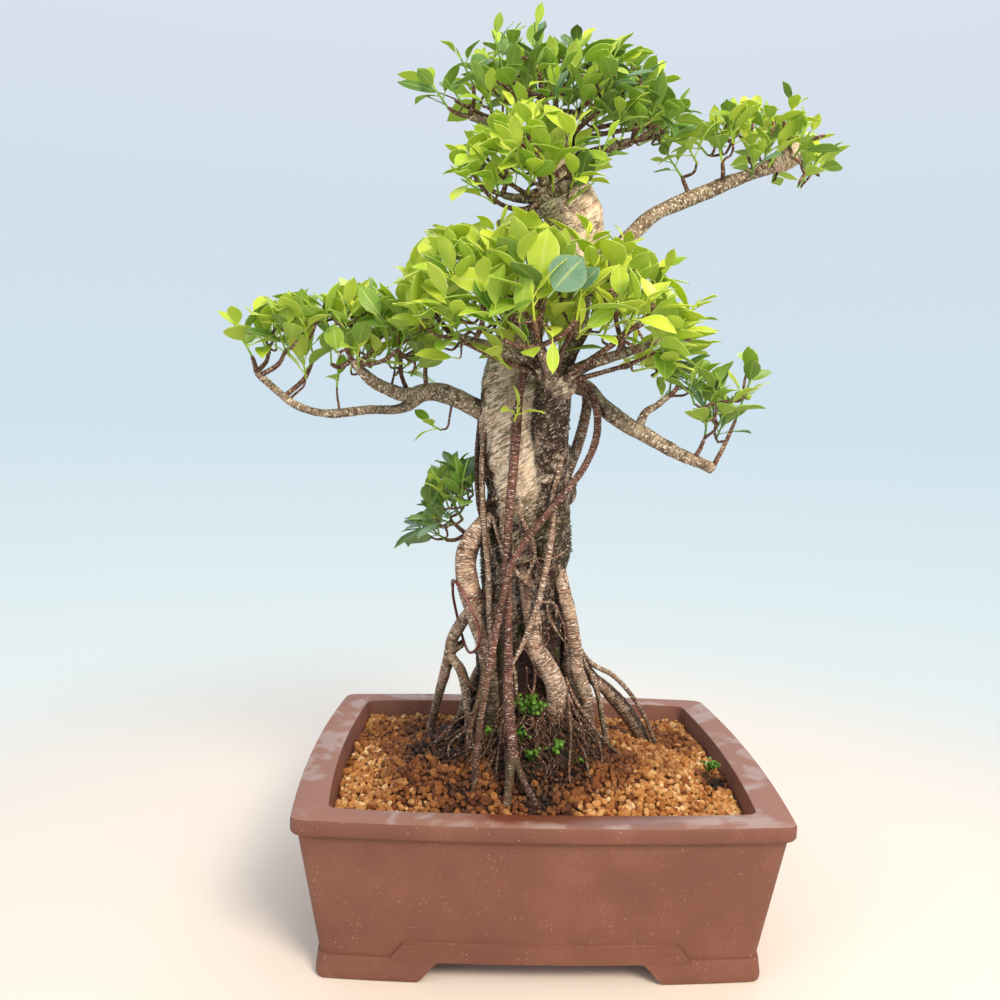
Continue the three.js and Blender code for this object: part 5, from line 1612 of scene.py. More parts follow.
solid_shoots = []
for crown, plan in CROWNS.items():
    lines = [LIMBS[name] for name in plan["limbs"]]
    for k, place in enumerate(plan["shoots"]):
        foot = np.array(place, float)
        direction = unit(unit(foot - np.array(plan["centre"])) + 0.75 * UP)
        twig = twig_line(nearest_on(lines, foot), foot, direction, 0.35, (2.6, 1.9), (0, 0.5, 1))
        name, phase = "shoot_%s_%02d" % (crown, k + 1), len(solid_shoots) * 0.9
        shoot = new_shoot(name, crown, foot, direction, twig, phase, STEM_LENGTH, 5, 1.0, (1.25, 0.5))
        solid_shoots.append(shoot)

random = seeded(11)
rootlets = []
for k in range(10):
    turn = 2 * math.pi * (k + 0.3 + 0.5 * random()) / 10
    spread = 98 * (0.75 + 0.35 * random())
    heading = np.array([math.cos(turn), 0.85 * math.sin(turn)])
    middle = np.array(TRUNK[1][:2])
    end, halfway = middle + heading * spread, middle + heading * between(40, spread, 0.45)
    start_height, end_height = 214 + 16 * random(), float(soil_height(*end))
    rootlets.append([
        [*(middle + heading * 32), start_height, 2.4],
        [*halfway, between(start_height, end_height, 0.6), 2.4],
        [*end, end_height - 12, 1.92],
    ])

wood_lines = [TRUNK, FRONT_STEM, *STUBS, *THICK_ROOTS, *AERIAL_ROOTS, *rootlets, *LIMBS.values()]
solid_wood = add_stems(as_segments(wood_lines + [shoot["twig"] for shoot in solid_shoots]), solid_shoots)
taken = {"points": [], "middles": [], "owners": []}
plan_leaves(solid_shoots, 0, solid_wood, taken, 8.5)
print("leaves on the solid model's shoots:", sum(len(shoot["blades"]) for shoot in solid_shoots))

# %% [markdown]
# ## More shoots
#
# A crown this full has many more shoots than the solid model could carry. Each crown is given
# an outline in x and z, as it looks from where the camera stands, and a depth. Feet of new
# shoots are spread through that space, some way apart. Then they are joined to the tree the
# way it grows: the foot nearest to the wood gets a twig first, and later ones may leave from
# that twig, so the bare inside of the crown fills with a branching of fine twigs.

# %% Outline, depth and fullness of each crown
OUTLINES = {
    "left": [
        (-317, 596), (-290, 585), (-279, 598), (-242, 606), (-214, 604), (-204, 616), (-173, 621),
        (-154, 606), (-117, 590), (-106, 565), (-115, 521), (-144, 515), (-213, 518), (-242, 522),
        (-279, 535), (-300, 554),
    ],
    "mid": [
        (-149, 599), (-135, 631), (-122, 663), (-94, 673), (-61, 670), (-31, 690), (-9, 679), (20, 670),
        (54, 667), (98, 648), (134, 599), (159, 588), (145, 566), (136, 542), (108, 517), (79, 521),
        (49, 530), (11, 529), (-28, 528), (-76, 536), (-114, 535), (-144, 562),
    ],
    "front": [
        (-94, 741), (-87, 760), (-54, 781), (-35, 794), (4, 789), (28, 769), (43, 764), (54, 741),
        (60, 709), (46, 694), (7, 693), (-51, 681), (-80, 678), (-95, 713),
    ],
    "top": [
        (-153, 827), (-113, 820), (-99, 822), (-84, 843), (-65, 857), (-59, 868), (-24, 878), (-6, 861),
        (28, 872), (67, 866), (98, 850), (110, 819), (146, 796), (137, 776), (88, 746), (48, 749),
        (7, 762), (-82, 773), (-113, 791),
    ],
    "right": [
        (115, 760), (130, 771), (154, 796), (169, 813), (194, 818), (235, 812), (250, 819), (267, 785),
        (299, 777), (290, 749), (256, 721), (214, 724), (173, 733), (142, 732), (119, 739),
    ],
    "lower": [
        (98, 502), (87, 540), (120, 548), (150, 552), (164, 547), (183, 567), (202, 563), (209, 525),
        (192, 481), (164, 451), (139, 470), (125, 508),
    ],
    "back": [
        (-147, 360), (-120, 408), (-110, 440), (-95, 456), (-74, 451), (-51, 441), (-50, 410), (-62, 368),
        (-98, 351), (-119, 356),
    ],
}
# Depth that the outline is drawn at, middle and half of the crown's own depth
CROWN_DEPTH = {
    "left": (-22, -30, 48), "mid": (-40, -58, 88), "front": (-20, -46, 52), "top": (8, 4, 62),
    "right": (22, 20, 42), "lower": (-44, -46, 30), "back": (20, 24, 34),
}
SHOOT_COUNT = {"left": 56, "mid": 116, "front": 42, "top": 108, "right": 32, "lower": 10, "back": 22}
# Leaves end at this height at a crown's left end, middle and right end. Below it twigs are bare
LEAF_FLOOR = {
    "left": (534, 536, 532), "mid": (556, 556, 545), "front": (708, 732, 720), "top": (800, 806, 768),
    "right": (738, 742, 738), "lower": (480, 460, 470), "back": (350, 350, 350),
}
LEAF_SIZE = {
    "left": (0.72, 1.0), "mid": (0.78, 1.12), "front": (0.72, 1.0), "top": (0.66, 0.95),
    "right": (0.62, 0.92), "lower": (0.66, 0.95), "back": (0.7, 1.0),
}

# %% [markdown]
# A few shoots stand free of the crowns, and some leaves catch the eye because they stand out
# in front of all others. Both are placed one by one, and the other leaves keep clear of the
# view of them.

# %% Single shoots and leaves
# Room kept free in front of a lone leaf, as it is seen and in depth
LONE_ROOM = 17
LONE_DEPTH = 14
# Foot, direction, stem length, number of leaves, leaf size and crown
FREE_SHOOTS = [
    [(-33, -66, 494), (0.2, -0.7, 0.6), 14, 4, 0.62, "mid"],
    [(-105, -4, 482), (-0.6, -0.2, 0.3), 12, 3, 0.55, "left"],
    [(-236, -24, 529), (-0.1, -0.2, 1), 16, 5, 0.9, "left"],
    [(-205, -28, 522), (0.1, -0.3, 1), 12, 4, 0.62, "left"],
    [(-192, -26, 538), (0.2, -0.2, 1), 16, 5, 0.9, "left"],
    [(-150, -18, 542), (0.1, -0.2, 1), 16, 5, 0.85, "left"],
    [(-121, -12, 549), (0, -0.2, 1), 14, 5, 0.8, "left"],
    [(110, -30, 512), (0.3, -0.4, 0.7), 12, 4, 0.5, "lower"],
    [(137, -40, 526), (0.5, -0.3, 0.6), 12, 4, 0.5, "lower"],
]
# Leaves that stand out in front of the others: foot, tip, width, tone and crown. A tone near 1 is
# pale blue-green, a painted reflection of the sky
LONE_LEAVES = [
    [(-19, -146, 606), (-16, -156, 652), 1.45, 0.08, "mid"],
    [(-12, -158, 596), (13, -168, 628), 1.9, 1, "mid"],
    [(10, -150, 599), (27, -160, 622), 1.9, 0.98, "mid"],
    [(-44, -138, 610), (-94, -142, 611), 0.9, 0.04, "mid"],
    [(-35, -142, 577), (-30, -150, 618), 0.85, 0.3, "mid"],
    [(-48, -138, 571), (-84, -148, 590), 1, 0.4, "mid"],
    [(50, -138, 595), (47, -146, 627), 1.2, 0.1, "mid"],
    [(64, -134, 623), (81, -142, 597), 0.9, 0.06, "mid"],
    [(-6, -136, 567), (-5, -144, 534), 0.9, 0.14, "mid"],
    [(17, -142, 570), (44, -150, 590), 1, 0.26, "mid"],
    [(116, -72, 580), (152, -76, 584), 0.85, 0.05, "mid"],
    [(-86, -102, 547), (-124, -112, 552), 0.9, 0.06, "mid"],
    [(-22, 4, 849), (-21, 0, 881), 1.3, 0.5, "top"],
    [(-50, 4, 852), (-63, 0, 872), 1.3, 0.24, "top"],
    [(20, 8, 852), (33, 4, 879), 1, 0.42, "top"],
    [(47, 10, 854), (70, 6, 875), 1, 0.12, "top"],
    [(60, 8, 845), (85, 4, 861), 0.9, 0.1, "top"],
    [(-110, 2, 809), (-154, -2, 821), 0.75, 0.68, "top"],
    [(-98, -2, 792), (-126, -8, 806), 0.9, 0.6, "top"],
    [(-74, -80, 714), (-72, -88, 739), 1.6, 0.1, "front"],
    [(-42, -86, 748), (-31, -94, 771), 1.2, 0.06, "front"],
    [(8, -86, 741), (-3, -94, 763), 1.2, 0.02, "front"],
    [(-156, -72, 581), (-178, -78, 612), 1.2, 0.5, "left"],
    [(-196, -78, 547), (-201, -86, 575), 1.6, 0.38, "left"],
    [(-288, -46, 569), (-312, -50, 590), 0.9, 0.12, "left"],
    [(-113, -96, 577), (-146, -100, 583), 1.1, 0.08, "left"],
]

# %% Feet for new shoots, and twigs to join them
SPACING = 12
TRIES = 9000
LONGEST_TWIG = 62
SMALLEST_LEAF = 0.55
rng = np.random.default_rng(7)


def seen_at(points, plane):
    """Where points appear in x and z on an upright plane, seen from the camera's place."""
    share = (plane - CAMERA_PLACE[1]) / (points[:, 1] - CAMERA_PLACE[1])
    return (CAMERA_PLACE + (points - CAMERA_PLACE) * share[:, None])[:, [0, 2]]


def edge_distance(places, outline):
    """How far places lie inside an outline from its edge, negative if they are outside."""
    corners = np.array(outline, float)
    step = np.roll(corners, -1, axis=0) - corners
    offset = places[:, None] - corners
    share = np.clip((offset * step).sum(axis=2) / (step**2).sum(axis=1), 0, 1)
    away = np.linalg.norm(offset - share[..., None] * step, axis=2).min(axis=1)
    crosses = (offset[..., 1] < 0) != (offset[..., 1] < step[:, 1])
    rise = np.where(step[:, 1] == 0, 1e-9, step[:, 1])
    crosses &= offset[..., 0] < step[:, 0] * offset[..., 1] / rise
    return np.where(crosses.sum(axis=1) % 2 == 1, away, -away)


def free_feet(crown, feet):
    """Places for shoots' feet in a crown, more of them near its outside than in its middle."""
    outline = np.array(OUTLINES[crown], float)
    plane, middle, half = CROWN_DEPTH[crown]
    low, high = outline.min(axis=0), outline.max(axis=0)
    x, z = rng.uniform(low[0], high[0], TRIES), rng.uniform(low[1], high[1], TRIES)
    depth = np.sign(rng.uniform(-1, 1, TRIES)) * rng.uniform(0, 1, TRIES) ** 0.5
    inside = edge_distance(np.column_stack([x, z]), outline)
    rounding = np.sqrt(np.clip(inside / inside.max(), 0, 1))
    y = middle + depth * half * rounding
    # The outline is drawn on the plane, so a foot in front of it moves towards the camera
    eye = CAMERA_PLACE
    spread = (y - eye[1]) / (plane - eye[1])
    places = np.column_stack([eye[0] + (x - eye[0]) * spread, y, eye[2] + (z - eye[2]) * spread])
    chosen = []
    for place in places[inside > rng.uniform(10, 24, TRIES)]:
        others = feet + chosen
        if np.linalg.norm(np.array(others) - place, axis=1).min() < SPACING:
            continue
        if (distances_to(solid_wood, place) < solid_wood["radius"] + 5).any():
            continue
        chosen.append(place)
        if len(chosen) == SHOOT_COUNT[crown]:
            break
    return chosen


def grow_crown(crown, feet, lines):
    """Joins feet to the tree, nearest first, and returns their shoots."""
    joints = np.vstack([smooth_path(knots, 6)[0][:, :3] for knots in lines])
    centre = np.array(CROWNS[crown]["centre"], float)
    left, shoots = list(feet), []
    while left:
        away = np.linalg.norm(np.array(left)[:, None] - joints, axis=2)
        number, joint = np.unravel_index(away.argmin(), away.shape)
        if away[number, joint] > LONGEST_TWIG:
            break
        foot, root = left.pop(number), joints[joint]
        length = away[number, joint]
        direction = unit(foot - centre) + 0.45 * unit(foot - root) + 0.5 * UP
        direction = unit(direction + 0.4 * unit(rng.normal(size=3)))
        radii = (min(2.3, 1.15 + 0.022 * length), 1.05)
        line = twig_line(root, foot, direction, 0.3, radii, (0, 0.3, 0.65, 1))
        for k, sway in ((1, 0.06), (2, 0.05)):
            line[k][:3] = (np.array(line[k][:3]) + rng.normal(size=3) * sway * length).tolist()
        joints = np.vstack([joints, smooth_path(line, 5)[0][1:, :3]])
        shoots.append(new_shoot(
            "%s_more_%d" % (crown, len(shoots)), crown, foot, direction, line, rng.uniform(0, 6.28),
            rng.uniform(14, 25), int(rng.integers(4, 7)), rng.uniform(*LEAF_SIZE[crown]),
        ))
    return shoots


def fits_crown(points, shoot):
    """Whether a leaf is in its crown's outline, above the bare twigs and hides no lone leaf."""
    crown, middles = shoot["crown"], np.array(lone_middles)
    close = np.linalg.norm(seen_at(middles, 0) - seen_at(points[[6]], 0), axis=1) < LONE_ROOM
    if (close & (middles[:, 1] > points[6][1] - LONE_DEPTH)).any():
        return False
    seen = seen_at(points[[6, 12]], CROWN_DEPTH[crown][0])
    inside = edge_distance(seen, OUTLINES[crown])
    ends = np.array(OUTLINES[crown])[:, 0]
    floor = np.interp(seen[0, 0], [ends.min(), ends.mean(), ends.max()], LEAF_FLOOR[crown])
    return inside[0] > -1 and inside[1] > -9 and seen[0, 1] > floor


# %% Plan the further shoots
# The solid shoots' leaves that reach out of their crown's outline are a little smaller here
for shoot in solid_shoots:
    plane, outline = CROWN_DEPTH[shoot["crown"]][0], OUTLINES[shoot["crown"]]
    for blade in shoot["blades"]:
        tip = blade_points(blade["start"], blade["along"], blade["up"], blade["size"])[[12]]
        excess = max(0, -edge_distance(seen_at(tip, plane), outline)[0] - 3)
        blade["size"] *= max(SMALLEST_LEAF, 1 - excess / 36)

further = []
solid_feet = [shoot["foot"] for shoot in solid_shoots]
for crown, plan in CROWNS.items():
    lines = [LIMBS[name] for name in plan["limbs"]] + FAN_BRANCHES.get(crown, [])
    lines += [shoot["twig"] for shoot in solid_shoots if shoot["crown"] == crown]
    further += grow_crown(crown, free_feet(crown, solid_feet), lines)
guided, free, lone = list(further), [], []
for number, (foot, direction, stem, leaves, size, crown) in enumerate(FREE_SHOOTS):
    foot, direction = np.array(foot, float), unit(np.array(direction, float))
    root = nearest_on([*LIMBS.values(), *AERIAL_ROOTS[:1], *fan_lines], foot)
    twig = twig_line(root, foot, direction, 0.4, (1.4, 1.0), (0, 0.35, 0.7, 1))
    name = "free_%d" % number
    free.append(new_shoot(name, crown, foot, direction, twig, number, stem, leaves, size))
lone_middles = []
for number, (foot, tip, width, tone, crown) in enumerate(LONE_LEAVES):
    foot, tip = np.array(foot, float), np.array(tip, float)
    direction, up = unit(tip - foot), unit(unit(CAMERA_PLACE) + 0.35 * UP)
    size = (np.linalg.norm(tip - foot) - PETIOLE) / BLADE
    points = blade_points(foot, direction, up, size)
    lone_middles.append(points[6])
    name = "lone_%d" % number
    take_room(taken, points, name)
    root = nearest_on([shoot["twig"] for shoot in guided if shoot["crown"] == crown], foot)
    twig = twig_line(root, foot, direction, 0.3, (0.95, 0.6), (0, 0.35, 0.7, 1))
    shoot = new_shoot(name, crown, foot, direction, twig, 0, 1, 0, size)
    blade = {"start": foot, "along": direction, "up": up, "size": size, "slot": 0}
    shoot["blades"].append({**blade, "tone": tone, "width": width})
    lone.append(shoot)
further += free + lone
all_wood = add_stems(solid_wood, guided + free)
plan_leaves(guided, 900, all_wood, taken, 2.6, fits_crown)
plan_leaves(free, 2900, all_wood, taken, 2.6)
print("further shoots:", len(further), "leaves:", sum(len(shoot["blades"]) for shoot in further))

# %% [markdown]
# ## The leaf
#
# A leaf of this ficus is leathery, elliptic, widest a little past the middle, with a short
# drawn-out tip, 30 to 45 mm long on a thin stalk. One flat leaf is modelled: a grid whose
# rows are drawn in to the outline, thickened, with a stalk. Each copy is then folded along
# its midrib, bent down towards the tip, widened or narrowed and waved at its edge.

# %% Model one leaf
# Share of the length and of the half width at each row
LEAF_ROWS = (
    (0, 0.08), (0.13, 0.55), (0.3, 0.88), (0.48, 1.0), (0.66, 0.93), (0.82, 0.62), (0.93, 0.24), (1, 0.03),
)
LEAF_THICKNESS = 0.4

bpy.ops.mesh.primitive_grid_add(x_subdivisions=4, y_subdivisions=len(LEAF_ROWS) - 1, size=2)
leaf = bpy.context.object
mode("EDIT")
for number, (share, width) in enumerate(LEAF_ROWS):
    row_at = 2 * number / (len(LEAF_ROWS) - 1) - 1
    shape = bmesh.from_edit_mesh(leaf.data)
    for vertex in shape.verts:
        vertex.select = abs(vertex.co.y - row_at) < 0.01 and abs(vertex.co.z) < 0.01
    shape.select_flush_mode()
    bmesh.update_edit_mesh(leaf.data)
    # Each finished row is lifted clear of the rows still to be placed
    bpy.ops.transform.resize(value=(width, 1, 1), center_override=(0, 0, 0))
    bpy.ops.transform.translate(value=(0, share - row_at, 5))
bpy.ops.mesh.select_all(action="SELECT")
bpy.ops.transform.translate(value=(0, 0, -5))
bpy.ops.transform.resize(value=(HALF_WIDTH, BLADE, 1), center_override=(0, 0, 0))
bpy.ops.transform.translate(value=(0, PETIOLE, 0))
mode("OBJECT")
apply_modifier(leaf, "SOLIDIFY", thickness=LEAF_THICKNESS, offset=0)
flat_points, leaf_faces = shape_of(leaf)
along_share = (flat_points[:, 1] - PETIOLE) / BLADE
outline = np.interp(along_share, *zip(*LEAF_ROWS)) * HALF_WIDTH
across_share = flat_points[:, 0] / np.maximum(outline, 0.2)
print("leaf points:", len(flat_points), "faces:", len(leaf_faces))

STALK_SIDES = 4
stalk_angle = np.linspace(0, 2 * math.pi, STALK_SIDES, endpoint=False) + 0.4
stalk_faces = [(k, (k + 1) % 4, 4 + (k + 1) % 4, 4 + k) for k in range(STALK_SIDES)]
stalk_faces += [(3, 2, 1, 0), (4, 5, 6, 7)]


def leaf_copy(blade, tone, shine, rng):
    """One leaf in its place on the tree, with its own fold, bend, width and wave."""
    along, up, size = blade["along"], blade["up"], blade["size"]
    normal = unit(up - along * up.dot(along))
    side = np.cross(normal, along)
    width = size * rng.uniform(0.8, 1.08) * blade.get("width", 1)
    fold, droop = rng.uniform(0.12, 0.42), rng.uniform(0.06, 0.34)
    # A lone leaf faces the camera and is almost flat
    if "width" in blade:
        fold, droop = 0.14, 0.12
    u, v = along_share, across_share
    x = flat_points[:, 0] * width
    y = PETIOLE + (flat_points[:, 1] - PETIOLE) * size * (1 - 0.1 * droop)
    wave = 0.55 * np.sin(7 * u + 3 * v + rng.uniform(0, 6)) * np.abs(v)
    z = flat_points[:, 2] + fold * np.abs(x) * (1 - 0.25 * np.abs(v)) - droop * BLADE * size * u * u + wave
    turn = rng.normal(0, 0.3)
    x, z = x * math.cos(turn) - z * math.sin(turn), x * math.sin(turn) + z * math.cos(turn)
    points = blade["start"] + np.outer(x, side) + np.outer(y, along) + np.outer(z, normal)
    stalk = []
    for distance, thick in ((-1.2, 0.75), (PETIOLE + 1.2, 0.5)):
        ring = np.outer(np.cos(stalk_angle), side) + np.outer(np.sin(stalk_angle), normal)
        stalk.append(blade["start"] + along * distance + ring * thick)
    count = len(points)
    faces = leaf_faces + [tuple(count + corner for corner in face) for face in stalk_faces]
    top = (flat_points[:, 2] > 0).astype(float)
    vein = np.vstack([np.column_stack([v, u, top]), np.tile([0, -0.1, 1.0], (8, 1))])
    return {
        "points": np.vstack([points, *stalk]), "faces": faces, "vein": vein,
        "tone": np.full(count + 8, tone), "shine": np.full(count + 8, shine),
    }


# %% [markdown]
# ### Leaf surface
#
# A ficus leaf is glossy above and dull below. New leaves are thin and lime with a yellow rim,
# old ones dark, and the oldest tones are painted blue-green and pale, a painted reflection of the
# sky. A pale midrib runs to the tip, and fine side veins leave it at a steep angle. Some light
# passes through, so a leaf seen against the light glows yellow-green.

# %% Leaf material
leaf_green = new_material("ficus_leaf", IOR=1.45, Specular_IOR_Level=0.62)
# Across the blade, along it, and whether it is the upper side
place_on_leaf = add(leaf_green, "SeparateXYZ", {0: stored(leaf_green, "vein", "Vector")}).outputs
across = calc(leaf_green, "ABSOLUTE", place_on_leaf["X"])
tone = stored(leaf_green, "tone")
mottle = span(leaf_green, noise(leaf_green, where(leaf_green), 70), to_low=-0.09, to_high=0.09)
# The blue-green stops at 0.9 and 1 are a painted reflection of the sky on old, glossy leaves
green = ramp(
    leaf_green, calc(leaf_green, "ADD", tone, mottle), (0, "#e2ee54"), (0.2, "#c6df44"), (0.42, "#a5c944"),
    (0.62, "#76a33f"), (0.78, "#477534"), (0.9, "#4c8056"), (1, "#8cb293"),
)
rib = span(leaf_green, across, 0.05, 0.11, 0.68, 0)
slant = calc(leaf_green, "MULTIPLY_ADD", across, -0.3, place_on_leaf["Y"])
wave = calc(leaf_green, "SINE", calc(leaf_green, "MULTIPLY", slant, 62))
veins = calc(leaf_green, "MAXIMUM", rib, span(leaf_green, wave, 0.8, 1, 0, 0.22))
rim, young = span(leaf_green, across, 0.84, 0.97, 0, 0.95), span(leaf_green, tone, 0.15, 0.6, 1, 0.25)
light_parts = calc(leaf_green, "MAXIMUM", veins, calc(leaf_green, "MULTIPLY", rim, young))
upper = blend(leaf_green, light_parts, green, blend(leaf_green, 0.62, green, "#f0f2a0"))
under = span(leaf_green, place_on_leaf["Z"], to_low=0.42, to_high=0)
sided = blend(leaf_green, under, upper, "#b6cd6a")
top_rough = span(leaf_green, stored(leaf_green, "shine"), to_low=0.42, to_high=0.2)
finish(leaf_green, sided, calc(leaf_green, "ADD", under, top_rough), veins, 0.35, 0.0004)
mix_in(leaf_green, 0.44, add(leaf_green, "BsdfTranslucent", {"Color": sided}))

# %% [markdown]
# ### Shoots, leaf by leaf
#
# Each shoot gets a base tone from its crown. These tones are partly the crowns' own growth, the
# middle and right crowns having the most new growth, and partly painted light, lighter where a
# crown should look more brightly lit. Leaves low in a crown are darker, partly as older leaves
# and partly as painted shade. A shoot's top leaves are the youngest and lightest, and every stem
# ends in the pointed bud that ficus shoots have.

# %% Make the shoots
OLD_SHARE = 0.1
# Base tone of each crown's leaves, partly their own growth and partly painted light and shade
CROWN_TONE_AND_LIGHT = {
    "left": 0.12, "mid": -0.1, "front": -0.03, "top": 0.27, "right": 0.08, "lower": 0.35, "back": 0.64,
}


def height_share(shoot):
    """0 for a shoot at the bottom of its crown, where leaves are old and painted darker as shade, and 1 at
    its top.
    """
    low, high = LEAF_FLOOR[shoot["crown"]][1], np.array(OUTLINES[shoot["crown"]])[:, 1].max()
    return float(np.clip((shoot["foot"][2] - low) / (high - low), 0, 1))


def shoot_parts(shoot, rng):
    """A shoot's stem, bud and leaves."""
    foot, direction, stem = shoot["foot"], shoot["direction"], shoot["stem"]
    base = CROWN_TONE_AND_LIGHT[shoot["crown"]] + rng.normal(0, 0.12)
    tip = foot + direction * stem
    knots = [[*(foot - direction * 1.5), 1.15], [*between(foot, tip, 0.5), 0.95], [*tip, 0.75]]
    knots += [[*(tip + direction * 3), 0.85], [*(tip + direction * 7), 0.2]]
    axis = tube(knots, 3.5, 6)
    count = len(axis["points"])
    axis["tone"] = np.full(count, min(0.58, base + 0.3))
    axis["shine"] = np.full(count, 0.4)
    axis["vein"] = np.tile([0.5, -0.1, 1.0], (count, 1))
    # A shoot whose leaves have all dropped is only its bare twig
    parts = [axis] if shoot["blades"] and shoot["leaves"] else []
    for blade in shoot["blades"]:
        # Lower in its crown a leaf is darker, partly as an older leaf and partly as painted shade
        age = 0.12 - 0.07 * blade["slot"] + 0.3 * (0.5 - height_share(shoot))
        tone = np.clip(base + age + rng.normal(0, 0.14) + 0.45 * (rng.uniform() < OLD_SHARE), 0, 1)
        tone = blade.get("tone", tone)
        parts.append(leaf_copy(blade, tone, rng.uniform(0, 1), rng))
    return parts


rng = np.random.default_rng(31)
LEAF_VALUES = ("vein", "tone", "shine")
for shoot in solid_shoots:
    points, faces, values = merge(shoot_parts(shoot, rng), LEAF_VALUES)
    made = piece("leafy_" + shoot["name"], points, faces, leaf_green, values, True, 50)
    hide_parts(shoot["name"])
for crown in CROWNS:
    chosen = [shoot for shoot in further if shoot["crown"] == crown]
    parts = [part for shoot in chosen for part in shoot_parts(shoot, rng)]
    points, faces, values = merge(parts, LEAF_VALUES)
    piece("further_leaves_" + crown, points, faces, leaf_green, values, True, 50)
    print(crown, "further shoots:", len(chosen), "faces:", len(faces))

twigs = [shoot["twig"] for shoot in solid_shoots + further]
grow("twigs", twigs, 2.4, 7, ridged(7.0, 0.16, 0.08), bark_twig)
grow("root_fan", rootlets, 1.6, 8, ridged(6.0, 0.16, 0.12), bark_aerial)

# %% [markdown]
# ## The old root ball
#
# Before it was put in this pot the tree's roots filled a ball of fine black earth. Its upper
# side still shows round the foot of the trunk, crumbly and threaded with roots. It is a ball
# whose points are flattened and then pushed in and out by noise of three sizes.

# %% Root ball
BALL_HALF = (74, 78)
BALL_MIDDLE = (-2, -38)
BALL_FOOT = 132
bpy.ops.mesh.primitive_ico_sphere_add(subdivisions=6, radius=1)
ball = bpy.context.object
ball.name = "old_root_ball"
points = read_points(ball.data)
flat = points[:, :2] * BALL_HALF + BALL_MIDDLE
climb = np.sqrt(np.clip(points[:, 2], 0, 1))
upper = between(BALL_FOOT, on_ball(flat[:, 0], flat[:, 1]), climb)
heights = np.where(points[:, 2] > 0, upper, BALL_FOOT + 20 * points[:, 2])
places = np.column_stack([flat, heights])
crumbs = 4.5 * smooth_noise(places, 17, 71) + 2.2 * smooth_noise(places, 6, 72)
crumbs += 1.0 * smooth_noise(places, 2.6, 73)
places[:, 2] += crumbs * (points[:, 2] > 0.05)
write_points(ball.data, places * MM)
activate(ball)
bpy.ops.object.shade_smooth()
earth_wet = 0.9 + 0.1 * smooth_noise(places, 12, 74)
earth_hue = np.clip(0.42 + 0.5 * smooth_noise(places, 5, 75), 0, 1)
store(ball.data, wet=earth_wet, hue=earth_hue)
settle(ball, soil_clay)

# %% Crumbs on the root ball
CRUMBS = 3600
rng = np.random.default_rng(41)
crumb_shapes = [grain_shape(number, 1) for number in range(4)]
turn, far = rng.uniform(-math.pi, math.pi, CRUMBS), rng.uniform(0, 1, CRUMBS) ** 0.6
spots = np.column_stack([np.cos(turn) * far * 82 - 2, np.sin(turn) * far * 84 - 40])
crumb_sizes = rng.uniform(2.0, 5.6, CRUMBS)
heights = on_ball(spots[:, 0], spots[:, 1]) + rng.uniform(-0.5, 2.2, CRUMBS)
centres = np.column_stack([spots, heights])
points, faces, owner = scatter(crumb_shapes, centres, crumb_sizes, any_turn(CRUMBS))
crumb_wet = np.clip(0.86 + rng.normal(0, 0.1, CRUMBS) - 0.35 * np.clip(far - 0.8, 0, 1), 0, 1)
crumb_hue = np.clip(rng.normal(0.45, 0.28, CRUMBS), 0, 1)
values = {"wet": crumb_wet[owner], "hue": crumb_hue[owner]}
piece("earth_crumbs", points, faces, soil_clay, values, smooth=False)
print("root ball from", places.min(axis=0).round(), "to", places.max(axis=0).round())

# %% [markdown]
# ## Moss and weeds
#
# Moss grows where the wood and the earth stay wet: on the dark front stem, on the foot of the
# trunk and on the root ball. A tuft is four short blades, modelled once from cones, and it is
# set on points of those surfaces, along their normals. The weeds are seedlings with small
# round leaves on threads of stalks, in clumps between the roots.

# %% Moss and weed shapes
rng = np.random.default_rng(45)


def turned_to(directions, spins):
    """Turns that take +Z to each direction, with a spin about it."""
    z_axis = unit(np.asarray(directions, float))
    helper = np.where(np.abs(z_axis[:, 2:]) < 0.9, [[0, 0, 1.0]], [[1.0, 0, 0]])
    x_axis = unit(np.cross(helper, z_axis))
    y_axis = np.cross(z_axis, x_axis)
    c, s = np.cos(spins)[:, None], np.sin(spins)[:, None]
    return np.stack([c * x_axis + s * y_axis, -s * x_axis + c * y_axis, z_axis], axis=-1)


def moss_tuft(number):
    """Four leaning blades, one unit tall."""
    blades = []
    for k in range(4):
        turn = 2 * math.pi * (k + 0.3 * number) / 4
        bpy.ops.mesh.primitive_cone_add(vertices=3, radius1=0.2, depth=1.1, location=(0, 0, 0.4))
        mode("EDIT")
        bpy.ops.transform.rotate(value=0.75 if k else 0.1, orient_axis="X", center_override=(0, 0, 0))
        bpy.ops.transform.rotate(value=turn, orient_axis="Z", center_override=(0, 0, 0))
        mode("OBJECT")
        bpy.ops.object.transform_apply(location=True)
        blades.append(bpy.context.object)
    activate(blades[0])
    for blade in blades:
        blade.select_set(True)
    bpy.ops.object.join()
    return shape_of(blades[0])


def weed_leaf():
    """A round cupped leaf, one unit across, whose stalk end is at the origin."""
    bpy.ops.mesh.primitive_circle_add(vertices=10, radius=0.5, fill_type="TRIFAN")
    made = bpy.context.object
    mode("EDIT")
    bpy.ops.mesh.select_all(action="SELECT")
    bpy.ops.transform.translate(value=(0, 0.5, 0))
    mode("OBJECT")
    points = read_points(made.data)
    points[:, 2] += 0.35 * ((points[:, 0]) ** 2 + (points[:, 1] - 0.5) ** 2)
    write_points(made.data, points)
    apply_modifier(made, "SOLIDIFY", thickness=0.07, offset=0)
    return shape_of(made)


tuft_shapes = [moss_tuft(number) for number in range(3)]
weed_shape = weed_leaf()
print("moss tuft faces:", len(tuft_shapes[0][1]), "weed leaf faces:", len(weed_shape[1]))

# %% [markdown]
# ### Greens
#
# Moss is matt and almost black-green when dry, brighter where it is wet. The weeds' leaves
# are thin, soft and bright, and let much light through.

